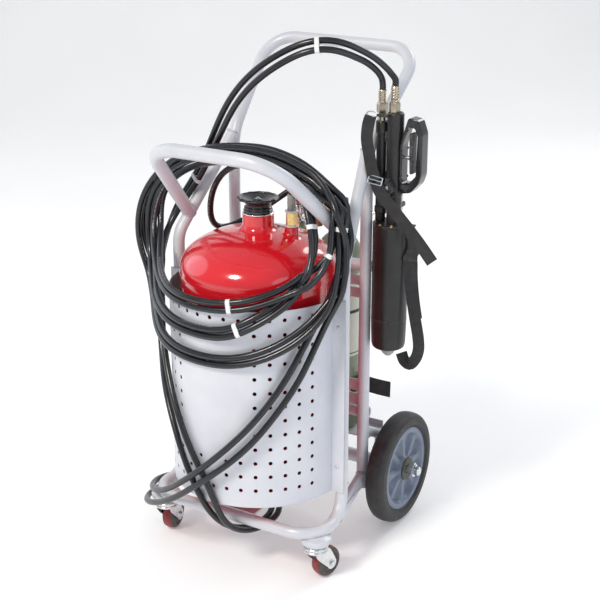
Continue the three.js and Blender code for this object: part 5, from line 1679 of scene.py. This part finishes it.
def hoses():
    paths = settle([smooth_path(hose_points(strand), SETTLE_SPACING) for strand in (0, 1)])
    for path, name in zip(paths, ("air", "water")):
        shape = Shape().sweep(path, circle(HOSE_R, 20))
        shape.piece(f"{name}_hose_run", ["hose_rubber"], "gun", [f"{name}_hose"], sharp=60, bend=LIFT_BEND)
    return paths


def band(shape, paths, spot, length=9):
    """Tape wrapped round both hoses at the place nearest to spot."""
    first = min(range(1, len(paths[0]) - 1), key=lambda k: (paths[0][k] - spot).length)
    here = paths[0][first]
    along = (paths[0][first + 1] - paths[0][first - 1]).normalized()
    other = min(paths[1], key=lambda p: (p - here).length)
    across = (other - here) - along * (other - here).dot(along)
    gap = across.length / 2
    across.normalize()
    over = along.cross(across)
    middle = here + across * gap
    rings = []
    for slide, shrink in ((-0.5, 0.4), (-0.44, 0.0), (0.44, 0.0), (0.5, 0.4)):
        ring = []
        for angle in full_turn(32):
            reach = HOSE_R + 0.7 - shrink
            u = math.cos(angle) * reach + math.copysign(gap, math.cos(angle))
            ring.append(middle + along * slide * length + across * u + over * math.sin(angle) * reach)
        rings.append(ring)
    shape.loft(rings)


def hose_ties(paths):
    shape = Shape()
    low_spots = [Vector((-180, 44, 776)), coil_centre(0.3), coil_centre(0.47), coil_centre(1.2),
                 coil_centre(1.44), coil_centre(2.19)]
    for spot in low_spots:
        band(shape, paths, spot)
    shape.piece("hose_tie_bands", ["tie_tape"], slot="clear_sleeve")
    top = Shape()
    band(top, paths, Vector((98, 60, 1086)))
    top.piece("hose_tie_band_top", ["tie_tape"], "gun", slot="clear_sleeve", bend=LIFT_BEND)


# ---------------------------------------------------------------- stage
def stage():
    floor_look = Look("pale_floor")
    tone = floor_look.mix(floor_look.ramp(floor_look.noise(3), 0.3, 0.7), rgb(0.91, 0.91, 0.91),
                          rgb(0.94, 0.94, 0.94))
    floor_look.set(Base_Color=tone, Roughness=0.85, Emission_Color=rgb(1.0, 1.0, 1.0),
                   Emission_Strength=0.16)
    mesh = bpy.data.meshes.new("floor")
    build = bmesh.new()
    profile = [(-6.0, 0.0), (4.0, 0.0)]
    for k in range(1, 17):
        angle = math.pi / 2 * k / 16
        profile.append((4.0 + 2.0 * math.sin(angle), 2.0 - 2.0 * math.cos(angle)))
    profile.append((6.0, 7.0))
    rows = []
    look_along = Vector((-0.49, 0.80, 0)).normalized()
    aside = Vector((look_along.y, -look_along.x, 0))
    for run, rise in profile:
        rows.append([build.verts.new(look_along * run + aside * s + Vector((0, 0, rise - 0.0005)))
                     for s in (-9, 9)])
    for a, b in zip(rows, rows[1:]):
        build.faces.new([a[0], a[1], b[1], b[0]])
    build.to_mesh(mesh)
    build.free()
    mesh.shade_smooth()
    mesh.materials.append(floor_look.material)
    floor = bpy.data.objects.new("floor", mesh)
    bpy.context.scene.collection.objects.link(floor)


def area_light(name, place, size, power, colour):
    data = bpy.data.lights.new(name, "AREA")
    data.shape = "DISK"
    data.size = size
    data.energy = power
    data.color = colour
    light = bpy.data.objects.new(name, data)
    light.location = place
    light.rotation_euler = (Vector((0, 0, 0.5)) - Vector(place)).to_track_quat("-Z", "Y").to_euler()
    bpy.context.scene.collection.objects.link(light)


def lights():
    area_light("key", (-0.5, -3.2, 3.4), 1.0, 105, (1.0, 0.95, 0.87))
    area_light("fill_right", (3.4, -1.0, 1.6), 3.0, 26, (0.80, 0.88, 1.0))
    area_light("fill_left", (-3.4, -0.6, 1.8), 3.0, 24, (0.82, 0.88, 1.0))
    area_light("rim_back", (0.8, 3.4, 2.8), 2.0, 50, (1.0, 0.98, 0.95))
    shade = bpy.data.worlds.new("studio")
    shade.use_nodes = True
    shade.node_tree.nodes["Background"].inputs[0].default_value = (0.92, 0.95, 1.0, 1)
    shade.node_tree.nodes["Background"].inputs[1].default_value = 0.5
    bpy.context.scene.world = shade
    bpy.context.scene.view_settings.view_transform = "Standard"


CAMERA_PLACE = (1448, -2217, 1502)
CAMERA_RIGHT, CAMERA_BACK = (0.8546, 0.5194, 0), (0.4890, -0.8046, 0.3368)
CAMERA_LENS, CAMERA_SHIFT = 82, (-0.0015, -0.002)


def camera():
    """Long lens from the front right, above the handle."""
    right = Vector(CAMERA_RIGHT).normalized()
    back = Vector(CAMERA_BACK).normalized()
    up = back.cross(right).normalized()
    right = up.cross(back)
    data = bpy.data.cameras.new("camera")
    data.lens = CAMERA_LENS
    data.shift_x, data.shift_y = CAMERA_SHIFT
    view = bpy.data.objects.new("camera", data)
    place = world(CAMERA_PLACE)
    rows = [[right[i], up[i], back[i], place[i]] for i in range(3)] + [[0, 0, 0, 1]]
    view.matrix_world = Matrix(rows)
    bpy.context.scene.collection.objects.link(view)
    bpy.context.scene.camera = view


frame_tubes()
frame_welds()
plates()
hook()
tank()
filler()
outlet()
shield()
shield_screws()
axle_parts()
wheels()
casters()
cylinders()
cylinder_strap()
regulator()
gauge()
supply_line()
barrel()
gun_body()
water_tube()
grip()
trigger()
knob()
slings()
hose_ties(hoses())
stage()
lights()
camera()
